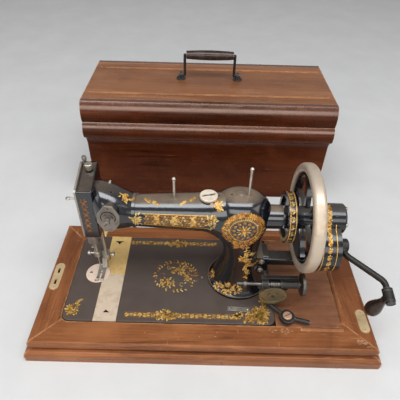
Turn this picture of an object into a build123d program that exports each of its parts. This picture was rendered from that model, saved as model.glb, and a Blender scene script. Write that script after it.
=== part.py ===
from build123d import *
import math
import os

# Hand-crank sewing machine on a wooden base, in millimetres.
# Origin: centre of the base's underside. +X towards the hand wheel, +Y to the back, +Z up.
# Names that end in _AT are distances from the bed's left end, so that the machine moves with its bed.

# Wooden base: flat top, moulded foot, rails round the opening
BASE_L = 490.0
BASE_D = 230.0
BASE_H = 37.5
FOOT_OUT = 7.0
FOOT_H = 19.0
FOOT_ROUND = 6.0
NECK_H = 4.0
NECK_IN = 4.5
TOP_ROUND = 3.5
RAIL_LEFT = 37.0
RAIL_RIGHT = 44.0
RAIL_FRONT = 35.0
RAIL_BACK = 27.5
LEDGE = 8.0
BOARD_T = 5.0
BOARD_IN = 8.0
BOARD_GAP = 0.2
DECK_DROP = 1.0
DECK_GAP = 0.4
BEAD_R = 3.0

# Brass strike plates for the case locks
STRIKE_L = 52.0
STRIKE_W = 14.0
STRIKE_T = 1.4
STRIKE_PROUD = 0.4
STRIKE_SLOT_L = 9.0
STRIKE_SLOT_W = 3.6
STRIKE_SLOT_APART = 22.0
STRIKE_EDGE = 11.5
STRIKE_RIGHT_L = 38.0
STRIKE_RIGHT_Y = -68.0

# Bed plate
BED_L = 312.0
BED_GAP = 0.8
BED_PROUD = 2.0
BED_T = 7.0
BED_SKIRT = 15.0
BED_WALL = 6.0
BED_R = 12.0
BED_EDGE = 1.5

# Hinges between the bed's back edge and the base
HINGE_AT = (22.2, 279.2)
HINGE_BACK = 3.0
HINGE_R = 3.0
HINGE_PIN_R = 1.5
HINGE_HALF_L = 12.5
HINGE_STUD_R = 2.5
HINGE_STUD_IN = 14.0
HINGE_MID_HALF = 4.7
LEAF_REACH = 15.0
LEAF_T = 2.0

# Slide plates, needle plate and feed
SLIDE_AT = 46.7
SLIDE_W = 33.5
SLIDE_T = 2.0
SLIDE_PROUD = 0.3
SLIDE_GAP = 0.35
SLIDE_SPLIT_Y = 5.0
NOTCH_W = 10.0
NOTCH_D = 6.0
NOTCH_IN = 14.0
NEEDLE_PLATE_AT = 37.7
NEEDLE_PLATE_Y = 7.0
NEEDLE_PLATE_R = 19.0
NEEDLE_PLATE_T = 2.0
NEEDLE_HOLE_R = 1.3
FEED_SLOT_W = 3.2
FEED_SLOT_L = 20.0
FEED_SLOT_OUT = 4.0
FEED_L = 13.0
FEED_DROP = 0.4
FEED_GAP = 0.4
FEED_H = 9.0
FEED_TEETH = 6
FEED_TRAVEL = 2.0

# Shafts and running fits
SHAFT_RISE = 133.0
SHAFT_R = 6.0
RUN_GAP = 0.05
FIT_GAP = 0.02
BUSH_R = 9.5
FRONT_BUSH_L = 20.0
REAR_BUSH_L = 20.0

# Arm casting: pillar, arm and needle head
ARM_Y = 8.0
ARM_LIFT = 6.5
ARM_R_LEFT = 22.0
ARM_R_RIGHT = 27.0
ARM_LEFT_AT = 109.2
ARM_RIGHT_AT = 209.2
# How the arm widens into the pillar: distance along, drop of its centre, extra half width and half height
ARM_FLARE = ((14.0, 1.0, 0.6, 1.6), (26.0, 5.0, 1.5, 6.5), (36.0, 11.0, 2.0, 13.0), (44.0, 20.0, 1.5, 21.0))
COLLAR_OUT = 2.0
COLLAR_W = 4.0
PILLAR_AT = 260.2
PILLAR_Y = 6.0
PILLAR_FOOT = (47.0, 44.0)
PILLAR_FOOT_H = 5.0
PILLAR_WAIST = (26.0, 30.0)
PILLAR_WAIST_RISE = 66.0
PILLAR_HEAD = (42.0, 32.0)
PILLAR_HEAD_RISE = 138.0
PILLAR_H = 172.0
PILLAR_LEAN = 8.0
PILLAR_BACK = 6.0
CAST_WALL = 6.0
REAR_BOSS_R = 17.0
REAR_BOSS_AT = 311.2
HEAD_W = 21.0
HEAD_LEFT = 5.5
HEAD_Y0 = -8.0
HEAD_Y1 = 44.0
HEAD_BOTTOM_RISE = 96.5
HEAD_FRONT_RISE = 182.5
HEAD_BACK_RISE = 196.5
HEAD_WALL = 3.0
HEAD_ROUND = 4.0
DISH_DEPTH = 3.0
BOSS_R_Y = 30.0
BOSS_R_Z = 33.0
FACE_T = 2.5
END_CAP_R = 9.0
END_CAP_H = 23.0

# Oil cap and spool pins
OIL_CAP_AT = 209.2
OIL_CAP_R = 12.0
OIL_CAP_T = 2.6
OIL_SLOT = 2.0
PIN_R = 1.7
PIN_BALL_R = 2.6
PIN_LEFT_AT = 163.2
PIN_LEFT_TOP = 198.0
PIN_RIGHT_AT = 262.2
PIN_RIGHT_TOP = 216.5
PIN_SEAT = 5.0

# Needle bar, needle and the crank that drives it
NEEDLE_AT = 43.2
NEEDLE_Y = 8.0
NEEDLE_BAR_R = 3.2
NEEDLE_BAR_BOTTOM = 44.0
NEEDLE_BAR_L = 132.0
NEEDLE_THROW = 9.5
CRANK_DISC_R = 12.5
CRANK_DISC_T = 4.0
CRANK_PIN_R = 1.8
CRANK_PIN_L = 1.7
YOKE_GAP = 0.3
YOKE_T = 2.0
YOKE_RIM = 1.2
CLAMP_R = 5.0
CLAMP_H = 10.0
NEEDLE_R = 0.8
NEEDLE_L = 40.0
NEEDLE_TAPER = 6.0

# Presser bar, foot, lifter and pressure screw
PRESSER_AT = 49.2
PRESSER_Y = 30.0
PRESSER_R = 3.0
PRESSER_TOP = 181.5
FOOT_GAP = 0.3
FOOT_T = 2.0
FOOT_L = 30.0
FOOT_W = 11.0
FOOT_SLOT = 3.6
FOOT_CLAMP_R = 6.5
FOOT_CLAMP_H = 12.0
FOOT_CLAMP_RISE = 12.0
PRESSER_COLLAR_RISE = 150.0
PRESSER_COLLAR_R = 5.5
PRESSER_COLLAR_H = 6.0
PRESS_SPRING_WIRE = 0.4
PRESS_SPRING_TURNS = 6
SCREW_R = 4.2
SCREW_KNOB_R = 5.0
SCREW_KNOB_H = 6.0
SCREW_TOP = 200.0
SCREW_L = 14.0
LIFTER_RISE = 118.0
LIFTER_STUD_R = 3.0
LIFTER_HUB_R = 7.0
LIFTER_T = 5.0
LIFTER_ARM = 36.0

# Take-up lever, carried by a stud on the face plate
TAKE_UP_Y = 34.0
TAKE_UP_RISE = 156.0
TAKE_UP_REACH = 34.5
TAKE_UP_LIFT = 9.0
TAKE_UP_T = 1.6
TAKE_UP_R = 2.5
TAKE_UP_OUT = 14.0
TAKE_UP_SWING = 14.0

# Thread tension on the front of the arm's boss
TENSION_AT = 80.2
TENSION_RISE = 156.5
TENSION_Y = -25.0
TENSION_PAD_R = 13.0
TENSION_PLATE_W = 28.5
TENSION_PLATE_H = 45.0
TENSION_PLATE_T = 2.0
TENSION_PLATE_DROP = 2.8
TENSION_PLATE_LEAN = 6.0
TENSION_PLATE_R = 2.5
TENSION_DISC_R = 7.0
TENSION_DISC_T = 1.2
TENSION_STUD_R = 2.0
TENSION_SPRING_L = 5.0
TENSION_SPRING_WIRE = 0.5
TENSION_SPRING_TURNS = 2
TENSION_NUT_R = 4.5
TENSION_NUT_L = 4.0

# Hand wheel, belt pulley and crank drive
WHEEL_AT = 344.2
WHEEL_R = 76.0
RIM_W = 17.0
RIM_DEEP = 13.0
FELLOE_T = 4.0
SPOKES = 6
SPOKE_W = 8.0
SPOKE_T = 7.0
SPOKE_BOW = 7.0
WHEEL_HUB_R = 16.0
WHEEL_HUB_L = 30.0
PULLEY_AT = 319.7
PULLEY_R = 36.0
PULLEY_W = 11.0
PULLEY_GROOVE = 2.0
GEAR_MODULE = 1.25
PINION_TEETH = 16
CRANK_TEETH = 48
GEAR_LEAN = 26.7
GEAR_STUB = 0.8
GEAR_BACKLASH = 0.3
GEAR_AT = 373.2
PINION_W = 12.0
CRANK_GEAR_W = 9.0
CASE_AT = 359.2
CASE_SPLIT_AT = 383.2
CASE_COVER_T = 5.0
CASE_WALL = 4.0
CASE_GAP = 1.6
PINION_LOBE_R = 21.0
LOBE_BOSS_L = 8.0
CRANK_BOSS_R = 12.0
CRANK_BOSS_L = 5.0
CRANK_SHAFT_R = 5.0
BRACKET_RISE = 46.5
BRACKET_H = 15.0
BRACKET_W = 20.0
PAD_W = 32.0
PAD_H = 34.0
PAD_AT = 293.2
FLANGE_T = 8.0

# Crank arm and folding handle
CRANK_R = 75.0
CRANK_DROP = 13.0
CRANK_HUB_R = 10.0
CRANK_HUB_L = 13.0
CRANK_HUB_GAP = 1.0
CRANK_OUT = 53.0
CRANK_ROD_W = 9.0
CRANK_ROD_T = 7.0
KNUCKLE_R = 7.0
KNUCKLE_L = 14.0
KNUCKLE_STUD_R = 4.0
KNUCKLE_CAP_R = 6.0
KNUCKLE_CAP_L = 3.0
HANDLE_LEAN = 8.0
SPINDLE_R = 3.2
GRIP_L = 46.0
GRIP_START = 9.0
GRIP_R = 10.5
GRIP_NECK_R = 5.5
GRIP_END_R = 5.0
RIVET_R = 4.5
RIVET_L = 2.0

# Bobbin winder
WINDER_Y = -50.0
WINDER_RISE = 57.5
WINDER_PIVOT_Y = -32.0
WINDER_PIVOT_RISE = 19.0
WINDER_PIVOT_R = 2.5
WINDER_LUG_T = 4.0
WINDER_LUG_W = 12.0
WINDER_LUG_AT = 293.2
WINDER_BARREL_L = 9.4
WINDER_SIDE_GAP = 0.3
WINDER_PLATE_T = 6.0
WINDER_BARREL_R = 5.8
WINDER_GEAR_AT = 306.2
WINDER_GEAR_R = 20.0
WINDER_GEAR_T = 5.0
WINDER_GEAR_TEETH = 40
WINDER_TOOTH = 1.2
WORM_R = 4.6
WORM_L = 13.0
WINDER_MESH_GAP = 0.4
WINDER_SPINDLE_R = 2.5
WINDER_SPINDLE_AT = 252.2
FRICTION_R = 16.0
FRICTION_W = 5.0
BOBBIN_CUP_R = 5.0
BOBBIN_CUP_AT = 261.2
LEVER_R = 3.2
LEVER_EYE_R = 11.0

# Rocking lever in the pillar, shuttle lever and shuttle under the bed
ECCENTRIC_R = 8.5
ECCENTRIC_OFF = 4.0
ECCENTRIC_W = 9.0
ROCKER_RISE = 22.5
ROCKER_PIN_R = 4.0
ROCKER_T = 8.0
ROCKER_FORK_GAP = 18.2
ROCKER_FORK_T = 3.0
ROCKER_SWING = 2.5
ROCKER_ROOM = 0.7
SHUTTLE_PIVOT_AT = 237.2
SHUTTLE_LEVER_T = 4.0
SHUTTLE_LEVER_W = 10.0
SHUTTLE_LEVER_DROP = 16.5
SHUTTLE_STUD_R = 3.0
SHUTTLE_PEG_R = 2.5
SHUTTLE_FORK = 0.5
RACE_AT = 64.2
RACE_W = 20.0
RACE_WALL = 2.5
RACE_FRONT = 13.2
RACE_BACK = 14.7
RACE_DROP = 14.0
CARRIER_L = 46.0
CARRIER_H = 4.0
SHUTTLE_L = 40.0
SHUTTLE_H = 5.0

# Case cover, standing on the floor behind the base
COVER_L = 460.0
COVER_D = 176.0
COVER_H = 214.0
COVER_X = 3.0
COVER_Y = 338.0
COVER_WALL = 8.0
COVER_END_T = 10.0
COVER_TOP_T = 7.0
COVER_BULGE = 17.0
COVER_OGEE_Z = 124.0
COVER_BEAD_R = 2.5
COVER_BEAD_IN = 33.0
HANDLE_SPAN = 110.0
HANDLE_BACK = 12.0
HANDLE_RISE = 47.0
HANDLE_WIRE_R = 2.5
HANDLE_GRIP_R = 9.0
HANDLE_EYE_R = 6.0
HANDLE_EYE_T = 5.0
HANDLE_PLATE_R = 9.0
HANDLE_PLATE_T = 2.0

# Places that follow from the sizes above
OPEN_X0 = -BASE_L / 2 + RAIL_LEFT
OPEN_X1 = BASE_L / 2 - RAIL_RIGHT
OPEN_Y0 = -BASE_D / 2 + RAIL_FRONT
OPEN_Y1 = BASE_D / 2 - RAIL_BACK
BED_Z = BASE_H + BED_PROUD
BED_X0 = OPEN_X0 + BED_GAP
BED_X1 = BED_X0 + BED_L
HINGE_XS = tuple(BED_X0 + at for at in HINGE_AT)
SLIDE_X0 = BED_X0 + SLIDE_AT
NEEDLE_PLATE_X = BED_X0 + NEEDLE_PLATE_AT
ARM_LEFT_X = BED_X0 + ARM_LEFT_AT
ARM_RIGHT_X = BED_X0 + ARM_RIGHT_AT
PILLAR_X = BED_X0 + PILLAR_AT
REAR_BOSS_X = BED_X0 + REAR_BOSS_AT
OIL_CAP_X = BED_X0 + OIL_CAP_AT
PIN_LEFT_X = BED_X0 + PIN_LEFT_AT
PIN_RIGHT_X = BED_X0 + PIN_RIGHT_AT
NEEDLE_X = BED_X0 + NEEDLE_AT
PRESSER_X = BED_X0 + PRESSER_AT
TENSION_X = BED_X0 + TENSION_AT
WHEEL_X = BED_X0 + WHEEL_AT
PULLEY_X = BED_X0 + PULLEY_AT
GEAR_X = BED_X0 + GEAR_AT
CASE_X0 = BED_X0 + CASE_AT
CASE_SPLIT_X = BED_X0 + CASE_SPLIT_AT
PAD_X = BED_X0 + PAD_AT
WINDER_LUG_X = BED_X0 + WINDER_LUG_AT
WINDER_GEAR_X = BED_X0 + WINDER_GEAR_AT
WINDER_SPINDLE_X0 = BED_X0 + WINDER_SPINDLE_AT
BOBBIN_CUP_X = BED_X0 + BOBBIN_CUP_AT
SHUTTLE_PIVOT_X = BED_X0 + SHUTTLE_PIVOT_AT
RACE_X = BED_X0 + RACE_AT
BED_Y0 = OPEN_Y0 + BED_GAP
BED_Y1 = OPEN_Y1 - BED_GAP
RACE_Y0 = BED_Y0 + RACE_FRONT
RACE_Y1 = BED_Y1 - RACE_BACK
BED_UNDER = BED_Z - BED_T
LEDGE_Z = BED_Z - BED_SKIRT
DECK_X0 = BED_X1 + BED_GAP
HINGE_Y = OPEN_Y1 + HINGE_BACK
HINGE_Z = BED_Z - BED_T / 2
SHAFT_Z = BED_Z + SHAFT_RISE
ARM_Z = SHAFT_Z + ARM_LIFT
HEAD_X0 = NEEDLE_X - HEAD_LEFT
HEAD_X1 = HEAD_X0 + HEAD_W
HEAD_Z0 = BED_Z + HEAD_BOTTOM_RISE
HEAD_Z1 = BED_Z + HEAD_FRONT_RISE
HEAD_Z2 = BED_Z + HEAD_BACK_RISE
CAVITY_X1 = HEAD_X1 - HEAD_WALL
GEAR_REACH = GEAR_MODULE * (PINION_TEETH + CRANK_TEETH) / 2
CRANK_Y = ARM_Y - GEAR_REACH * math.sin(math.radians(GEAR_LEAN))
CRANK_Z = SHAFT_Z - GEAR_REACH * math.cos(math.radians(GEAR_LEAN))
CRANK_PITCH_R = GEAR_MODULE * CRANK_TEETH / 2
CRANK_LOBE_R = CRANK_PITCH_R + GEAR_STUB * GEAR_MODULE + CASE_GAP + CASE_WALL
CASE_COVER_X = CASE_SPLIT_X + CASE_COVER_T
CRANK_HUB_X = CASE_COVER_X + CRANK_BOSS_L + CRANK_HUB_GAP
WINDER_Z = BED_Z + WINDER_RISE
WINDER_PIVOT_Z = BED_Z + WINDER_PIVOT_RISE
WINDER_GEAR_Z = WINDER_Z - WORM_R - WINDER_MESH_GAP - WINDER_GEAR_R
ROCKER_Z = BED_Z + ROCKER_RISE
ROCKER_TIPS = SHAFT_Z + ECCENTRIC_OFF + ROCKER_FORK_T / 2
HANDLE_Y = COVER_Y + HANDLE_BACK


def box(x0, x1, y0, y1, z0, z1):
    """Block between two corners."""
    return Pos((x0 + x1) / 2, (y0 + y1) / 2, (z0 + z1) / 2) * Box(x1 - x0, y1 - y0, z1 - z0)


def cyl_x(r, x0, x1, y, z):
    """Round bar along X."""
    return Pos((x0 + x1) / 2, y, z) * Rot(0, 90, 0) * Cylinder(r, x1 - x0)


def cyl_y(r, y0, y1, x, z):
    """Round bar along Y."""
    return Pos(x, (y0 + y1) / 2, z) * Rot(90, 0, 0) * Cylinder(r, y1 - y0)


def cyl_z(r, z0, z1, x, y):
    """Round bar along Z."""
    return Pos(x, y, (z0 + z1) / 2) * Cylinder(r, z1 - z0)


def ring_x(r_out, r_in, x0, x1, y, z):
    """Tube along X."""
    return cyl_x(r_out, x0, x1, y, z) - cyl_x(r_in, x0 - 1, x1 + 1, y, z)


def polygon_x(points, x0, x1):
    """Prism along X from (y, z) points."""
    face = make_face(Polyline(*[(x0, y, z) for y, z in points], close=True))
    return extrude(face, amount=x1 - x0, dir=(1, 0, 0))


def polygon_y(points, y0, y1):
    """Prism along Y from (x, z) points."""
    face = make_face(Polyline(*[(x, y0, z) for x, z in points], close=True))
    return extrude(face, amount=y1 - y0, dir=(0, 1, 0))


def polygon_z(points, z0, z1):
    """Prism along Z from (x, y) points."""
    face = make_face(Polyline(*[(x, y, z0) for x, y in points], close=True))
    return extrude(face, amount=z1 - z0, dir=(0, 0, 1))


def oval_z(x, y, z, half_x, half_y):
    """Level oval section."""
    return Pos(x, y, z) * Ellipse(half_x, half_y)


def oval_x(x, y, z, half_y, half_z):
    """Upright oval section across the arm."""
    return Plane(origin=(x, y, z), x_dir=(0, 1, 0), z_dir=(1, 0, 0)) * Ellipse(half_y, half_z)


def upper(solid):
    """Edges of a solid's highest face."""
    return solid.edges().group_by(Axis.Z)[-1]


def lower(solid):
    """Edges of a solid's lowest face."""
    return solid.edges().group_by(Axis.Z)[0]


def coil(plane, radius, length, turns, wire):
    """Spring: a wire swept along quarter-turn arcs, starting on the plane."""
    def point(t):
        angle = 2 * math.pi * turns * t
        return plane.from_local_coords((radius * math.cos(angle), radius * math.sin(angle), length * t))
    quarters = 4 * turns
    arcs = [ThreePointArc(point(i / quarters), point((i + 0.5) / quarters), point((i + 1) / quarters))
            for i in range(quarters)]
    path = Wire(arcs)
    start = Plane(origin=path @ 0, z_dir=path % 0)
    print("spring gap to itself", round(length / turns - 2 * wire, 2))
    return sweep(start * Circle(wire), path=path)


def save(name, *solids):
    """Write one node: a single solid, or a group of separate ones."""
    shape = solids[0] if len(solids) == 1 else Compound(list(solids))
    export_step(shape, os.path.join("parts", name + ".step"))


def strike_outlines():
    """Left and right strike plates as (centre x, centre y, length)."""
    edge = BASE_L / 2 - STRIKE_EDGE
    return ((-edge, 0.0, STRIKE_L), (edge, STRIKE_RIGHT_Y, STRIKE_RIGHT_L))


def strike_block(x, y, length, z0, z1, spare=0.0):
    """Round-ended plate lying along Y."""
    outline = SlotOverall(length + 2 * spare, STRIKE_W + 2 * spare, rotation=90)
    return extrude(Pos(x, y, z0) * outline, amount=z1 - z0)


def strike_slots(x, y, z0, z1):
    """Two tongue slots of a strike plate."""
    places = [y - STRIKE_SLOT_APART / 2, y + STRIKE_SLOT_APART / 2]
    return [box(x - STRIKE_SLOT_W / 2, x + STRIKE_SLOT_W / 2, at - STRIKE_SLOT_L / 2, at + STRIKE_SLOT_L / 2,
                z0, z1) for at in places]


def rail_blank(side):
    """Straight moulded length for one side of the base, before it is mitred."""
    along_x = side in ("front", "back")
    sign = 1 if side in ("back", "right") else -1
    edge = (BASE_D if along_x else BASE_L) / 2
    width = LEDGE + {"front": RAIL_FRONT, "back": RAIL_BACK, "left": RAIL_LEFT, "right": RAIL_RIGHT}[side]

    def at(out, z):
        place = sign * (edge + out)
        return (0, place, z) if along_x else (place, 0, z)

    def quarter(out, z, radius, up):
        mid = radius * math.sqrt(0.5)
        ends = [at(out + radius, z), at(out, z + up * radius)]
        start, end = ends if up > 0 else ends[::-1]
        return ThreePointArc(start, at(out + mid, z + up * mid), end)

    foot_r, top_r, neck_top = FOOT_ROUND, TOP_ROUND, FOOT_H + NECK_H
    outline = [Line(at(FOOT_OUT, 0), at(FOOT_OUT, FOOT_H - foot_r)),
               quarter(FOOT_OUT - foot_r, FOOT_H - foot_r, foot_r, 1),
               Polyline(at(FOOT_OUT - foot_r, FOOT_H), at(-NECK_IN, FOOT_H), at(-NECK_IN, neck_top),
                        at(-top_r, neck_top)),
               quarter(-top_r, neck_top + top_r, top_r, -1),
               Line(at(0, neck_top + top_r), at(0, BASE_H - top_r)),
               quarter(-top_r, BASE_H - top_r, top_r, 1),
               Polyline(at(-top_r, BASE_H), at(-width, BASE_H), at(-width, 0), at(FOOT_OUT, 0))]
    length = (BASE_L if along_x else BASE_D) / 2 + FOOT_OUT
    return extrude(make_face(outline), amount=length, dir=(1, 0, 0) if along_x else (0, 1, 0), both=True)


def mitre_block(side):
    """Plan of one rail: 45 degrees in from the outer corners, then square to the opening."""
    far_x, far_y = BASE_L / 2 + FOOT_OUT, BASE_D / 2 + FOOT_OUT
    inner_xs = {-1: OPEN_X0 + LEDGE, 1: OPEN_X1 - LEDGE}
    inner_ys = {-1: OPEN_Y0 + LEDGE, 1: OPEN_Y1 - LEDGE}
    ends = {"front": ((-1, -1), (1, -1)), "right": ((1, -1), (1, 1)),
            "back": ((1, 1), (-1, 1)), "left": ((-1, 1), (-1, -1))}[side]
    outer, knees, inner = [], [], []
    for sx, sy in ends:
        step = min(far_x - sx * inner_xs[sx], far_y - sy * inner_ys[sy])
        outer.append((sx * far_x, sy * far_y))
        knees.append((sx * (far_x - step), sy * (far_y - step)))
        inner.append((inner_xs[sx], inner_ys[sy]))
    points = [outer[0], outer[1], knees[1], inner[1], inner[0], knees[0]]
    points = [point for i, point in enumerate(points) if math.dist(point, points[i - 1]) > RUN_GAP]
    return polygon_z(points, -1, BASE_H + 1)


def base_pockets():
    """Everything let into the rails: opening, bottom board, strike plates and hinges."""
    middle_x, middle_y = (OPEN_X0 + OPEN_X1) / 2, (OPEN_Y0 + OPEN_Y1) / 2
    opening = RectangleRounded(OPEN_X1 - OPEN_X0, OPEN_Y1 - OPEN_Y0, BED_R + BED_GAP)
    pockets = [extrude(Pos(middle_x, middle_y, LEDGE_Z) * opening, amount=BASE_H),
               box(-BASE_L / 2 + BOARD_IN, BASE_L / 2 - BOARD_IN, -BASE_D / 2 + BOARD_IN,
                   BASE_D / 2 - BOARD_IN,
                   -1, BOARD_T + BOARD_GAP)]
    for x, y, length in strike_outlines():
        pockets.append(strike_block(x, y, length, BASE_H - STRIKE_T + STRIKE_PROUD, BASE_H + 1, DECK_GAP / 4))
    x, y, length = strike_outlines()[0]
    pockets += strike_slots(x, y, BASE_H / 2, BASE_H + 1)
    spare = HINGE_PIN_R / 3
    for x in HINGE_XS:
        half = HINGE_HALF_L + spare
        pockets.append(box(x - half, x + half, OPEN_Y1 - LEDGE, HINGE_Y + HINGE_R + spare,
                           HINGE_Z - HINGE_R - spare, BASE_H + 1))
        pockets.append(box(x - half, x + half, HINGE_Y, HINGE_Y + LEAF_REACH + spare, BASE_H - LEAF_T,
                           BASE_H + 1))
    return pockets


def base_rails():
    """Front, back, left and right rails, and the beads beside the deck."""
    rails = {}
    pockets = base_pockets()
    for side in ("front", "right", "back", "left"):
        rail = rail_blank(side) & mitre_block(side)
        for pocket in pockets:
            rail -= pocket
        rails[side] = rail
    bead_z = BASE_H - BEAD_R / 3
    above = box(DECK_X0, BASE_L / 2, -BASE_D / 2, BASE_D / 2, bead_z, BASE_H + BEAD_R)
    rails["right"] += above & cyl_y(BEAD_R, OPEN_Y0 + 3 * BEAD_R, OPEN_Y1 - 3 * BEAD_R, OPEN_X1 + BEAD_R,
                                    bead_z)
    rails["front"] += above & cyl_x(BEAD_R, DECK_X0 + RAIL_FRONT, OPEN_X1, OPEN_Y0 - BEAD_R, bead_z)
    return rails


def bottom_board():
    spare = BOARD_IN + BOARD_GAP
    return box(-BASE_L / 2 + spare, BASE_L / 2 - spare, -BASE_D / 2 + spare, BASE_D / 2 - spare, 0, BOARD_T)


def deck_panel():
    """Wooden deck right of the bed, with the batten that also carries the bed's end."""
    x0, x1 = DECK_X0, OPEN_X1 - DECK_GAP
    y0, y1 = OPEN_Y0 + DECK_GAP, OPEN_Y1 - DECK_GAP
    panel = box(x0, x1, y0, y1, LEDGE_Z, BASE_H - DECK_DROP)
    corners = panel.edges().filter_by(Axis.Z).group_by(Axis.X)[-1]
    panel = fillet(corners, BED_R + BED_GAP)
    batten = box(BED_X1 - LEDGE, DECK_X0 + LEDGE, OPEN_Y0 + LEDGE + DECK_GAP, OPEN_Y1 - LEDGE - DECK_GAP,
                 BOARD_T, LEDGE_Z)
    return panel + batten


def strike_plates():
    plates = []
    for x, y, length in strike_outlines():
        plate = strike_block(x, y, length, BASE_H - STRIKE_T + STRIKE_PROUD, BASE_H + STRIKE_PROUD)
        plates.append(plate)
    x, y, length = strike_outlines()[0]
    for slot in strike_slots(x, y, BASE_H / 2, BASE_H + 1):
        plates[0] -= slot
    return plates


def hinge_leaf(x):
    """Leaf let into the back rail, its two knuckles and the pin through them."""
    near = HINGE_Y + HINGE_R + HINGE_PIN_R / 3
    leaf = box(x - HINGE_HALF_L, x + HINGE_HALF_L, near, HINGE_Y + LEAF_REACH, BASE_H - LEAF_T, BASE_H)
    mid = HINGE_MID_HALF + HINGE_PIN_R / 5
    for x0, x1 in ((x - HINGE_HALF_L, x - mid), (x + mid, x + HINGE_HALF_L)):
        leaf += box(x0, x1, HINGE_Y, near, BASE_H - LEAF_T, BASE_H)
        leaf += cyl_x(HINGE_R, x0, x1, HINGE_Y, HINGE_Z)
    return leaf + cyl_x(HINGE_PIN_R, x - HINGE_HALF_L, x + HINGE_HALF_L, HINGE_Y, HINGE_Z)


def hinge_stud(x):
    """Knuckle on the hinge pin with the stud that enters the bed's edge."""
    stud = cyl_x(HINGE_R, x - HINGE_MID_HALF, x + HINGE_MID_HALF, HINGE_Y, HINGE_Z)
    stud += cyl_y(HINGE_STUD_R, BED_Y1 - HINGE_STUD_IN, HINGE_Y, x, HINGE_Z)
    return stud - cyl_x(HINGE_PIN_R + RUN_GAP, x - HINGE_HALF_L, x + HINGE_HALF_L, HINGE_Y, HINGE_Z)


def bed_outline(inset):
    middle_x, middle_y = (BED_X0 + BED_X1) / 2, (BED_Y0 + BED_Y1) / 2
    round_r = max(BED_R - inset, BED_R / 4)
    shape = RectangleRounded(BED_X1 - BED_X0 - 2 * inset, BED_Y1 - BED_Y0 - 2 * inset, round_r)
    return Pos(middle_x, middle_y, LEDGE_Z) * shape


def winder_lug_xs():
    """Left and right lug spans of the winder's pivot on the bed."""
    gap = WINDER_BARREL_L + 2 * WINDER_SIDE_GAP
    first = (WINDER_LUG_X, WINDER_LUG_X + WINDER_LUG_T)
    return first, (first[1] + gap, first[1] + gap + WINDER_LUG_T)


def bed_plate():
    bed = extrude(bed_outline(0), amount=BED_SKIRT)
    bed = fillet(upper(bed), BED_EDGE)
    bed -= extrude(bed_outline(BED_WALL), amount=BED_SKIRT - BED_T)
    bed -= box(SLIDE_X0 - SLIDE_GAP, SLIDE_X0 + SLIDE_W + SLIDE_GAP, BED_Y0 - 1, BED_Y1 + 1,
               BED_Z + SLIDE_PROUD - SLIDE_T - SLIDE_GAP, BED_Z + 1)
    bed -= box(RACE_X - RACE_W / 2, RACE_X + RACE_W / 2, RACE_Y0, RACE_Y1, BED_UNDER - 1, BED_Z + 1)
    bed -= cyl_z(NEEDLE_PLATE_R + FIT_GAP, BED_Z - NEEDLE_PLATE_T, BED_Z + 1, NEEDLE_PLATE_X, NEEDLE_PLATE_Y)
    feed_half = FEED_SLOT_OUT + FEED_SLOT_W
    bed -= box(NEEDLE_X - feed_half, NEEDLE_X + feed_half, NEEDLE_Y - FEED_SLOT_L / 2,
               NEEDLE_Y + FEED_SLOT_L / 2,
               BED_UNDER - 1, BED_Z)
    well_x = ROCKER_T + CAST_WALL
    well_y = ROCKER_T + CAST_WALL
    bed -= box(PILLAR_X - well_x, PILLAR_X + well_x, ARM_Y - well_y, ARM_Y + well_y, BED_UNDER - 1, BED_Z + 1)
    for x in HINGE_XS:
        bed -= cyl_y(HINGE_STUD_R + FIT_GAP, BED_Y1 - HINGE_STUD_IN - 1, BED_Y1 + 1, x, HINGE_Z)
    lug_y0, lug_y1 = WINDER_PIVOT_Y - WINDER_LUG_W / 2, WINDER_PIVOT_Y + WINDER_LUG_W / 2
    for x0, x1 in winder_lug_xs():
        bed += box(x0, x1, lug_y0, lug_y1, BED_UNDER, WINDER_PIVOT_Z)
        bed += cyl_x(WINDER_LUG_W / 2, x0, x1, WINDER_PIVOT_Y, WINDER_PIVOT_Z)
    first, last = winder_lug_xs()
    bed += cyl_x(WINDER_PIVOT_R, first[0], last[1], WINDER_PIVOT_Y, WINDER_PIVOT_Z)
    stud_z = BED_Z - SHUTTLE_LEVER_DROP
    bed += cyl_z(2 * SHUTTLE_STUD_R, stud_z + SHUTTLE_LEVER_T / 2 + FEED_GAP, BED_UNDER, SHUTTLE_PIVOT_X,
                 ARM_Y)
    bed += cyl_z(SHUTTLE_STUD_R, stud_z - SHUTTLE_LEVER_T, BED_UNDER, SHUTTLE_PIVOT_X, ARM_Y)
    return bed


def pillar(inset, top):
    """Pillar form from its foot to its domed top, drawn in by an inset for the hollow."""
    foot_x, foot_y = PILLAR_FOOT
    waist_x, waist_y = PILLAR_WAIST
    head_x, head_y = PILLAR_HEAD
    waist, head, crown = PILLAR_WAIST_RISE, PILLAR_HEAD_RISE, PILLAR_H - PILLAR_HEAD_RISE
    sections = [
        (PILLAR_FOOT_H, foot_x - 1, foot_y - 1),
        (waist * 0.27, (foot_x + waist_x) / 2, (foot_y + waist_y) / 2),
        (waist * 0.65, waist_x + 3, waist_y + 2),
        (waist, waist_x, waist_y),
        (waist + (head - waist) * 0.5, (waist_x + head_x) / 2 - 2, (waist_y + head_y) / 2),
        (head, head_x, head_y),
        (head + crown * 0.35, head_x - 1, head_y - 2),
        (head + crown * 0.7, head_x * 0.8, head_y * 0.78),
        (head + crown * 0.92, head_x * 0.47, head_y * 0.45),
        (head + crown, head_x * 0.15, head_y * 0.14)]
    kept = [section for section in sections if section[0] <= top]
    ovals = []
    for rise, half_x, half_y in kept:
        share = max(0.0, (rise - waist) / (PILLAR_H - waist))
        at_x, at_y = PILLAR_X - PILLAR_LEAN * share, PILLAR_Y + PILLAR_BACK * share
        ovals.append(oval_z(at_x, at_y, BED_Z + rise, half_x - inset, half_y - inset))
    return loft(ovals)


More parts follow.
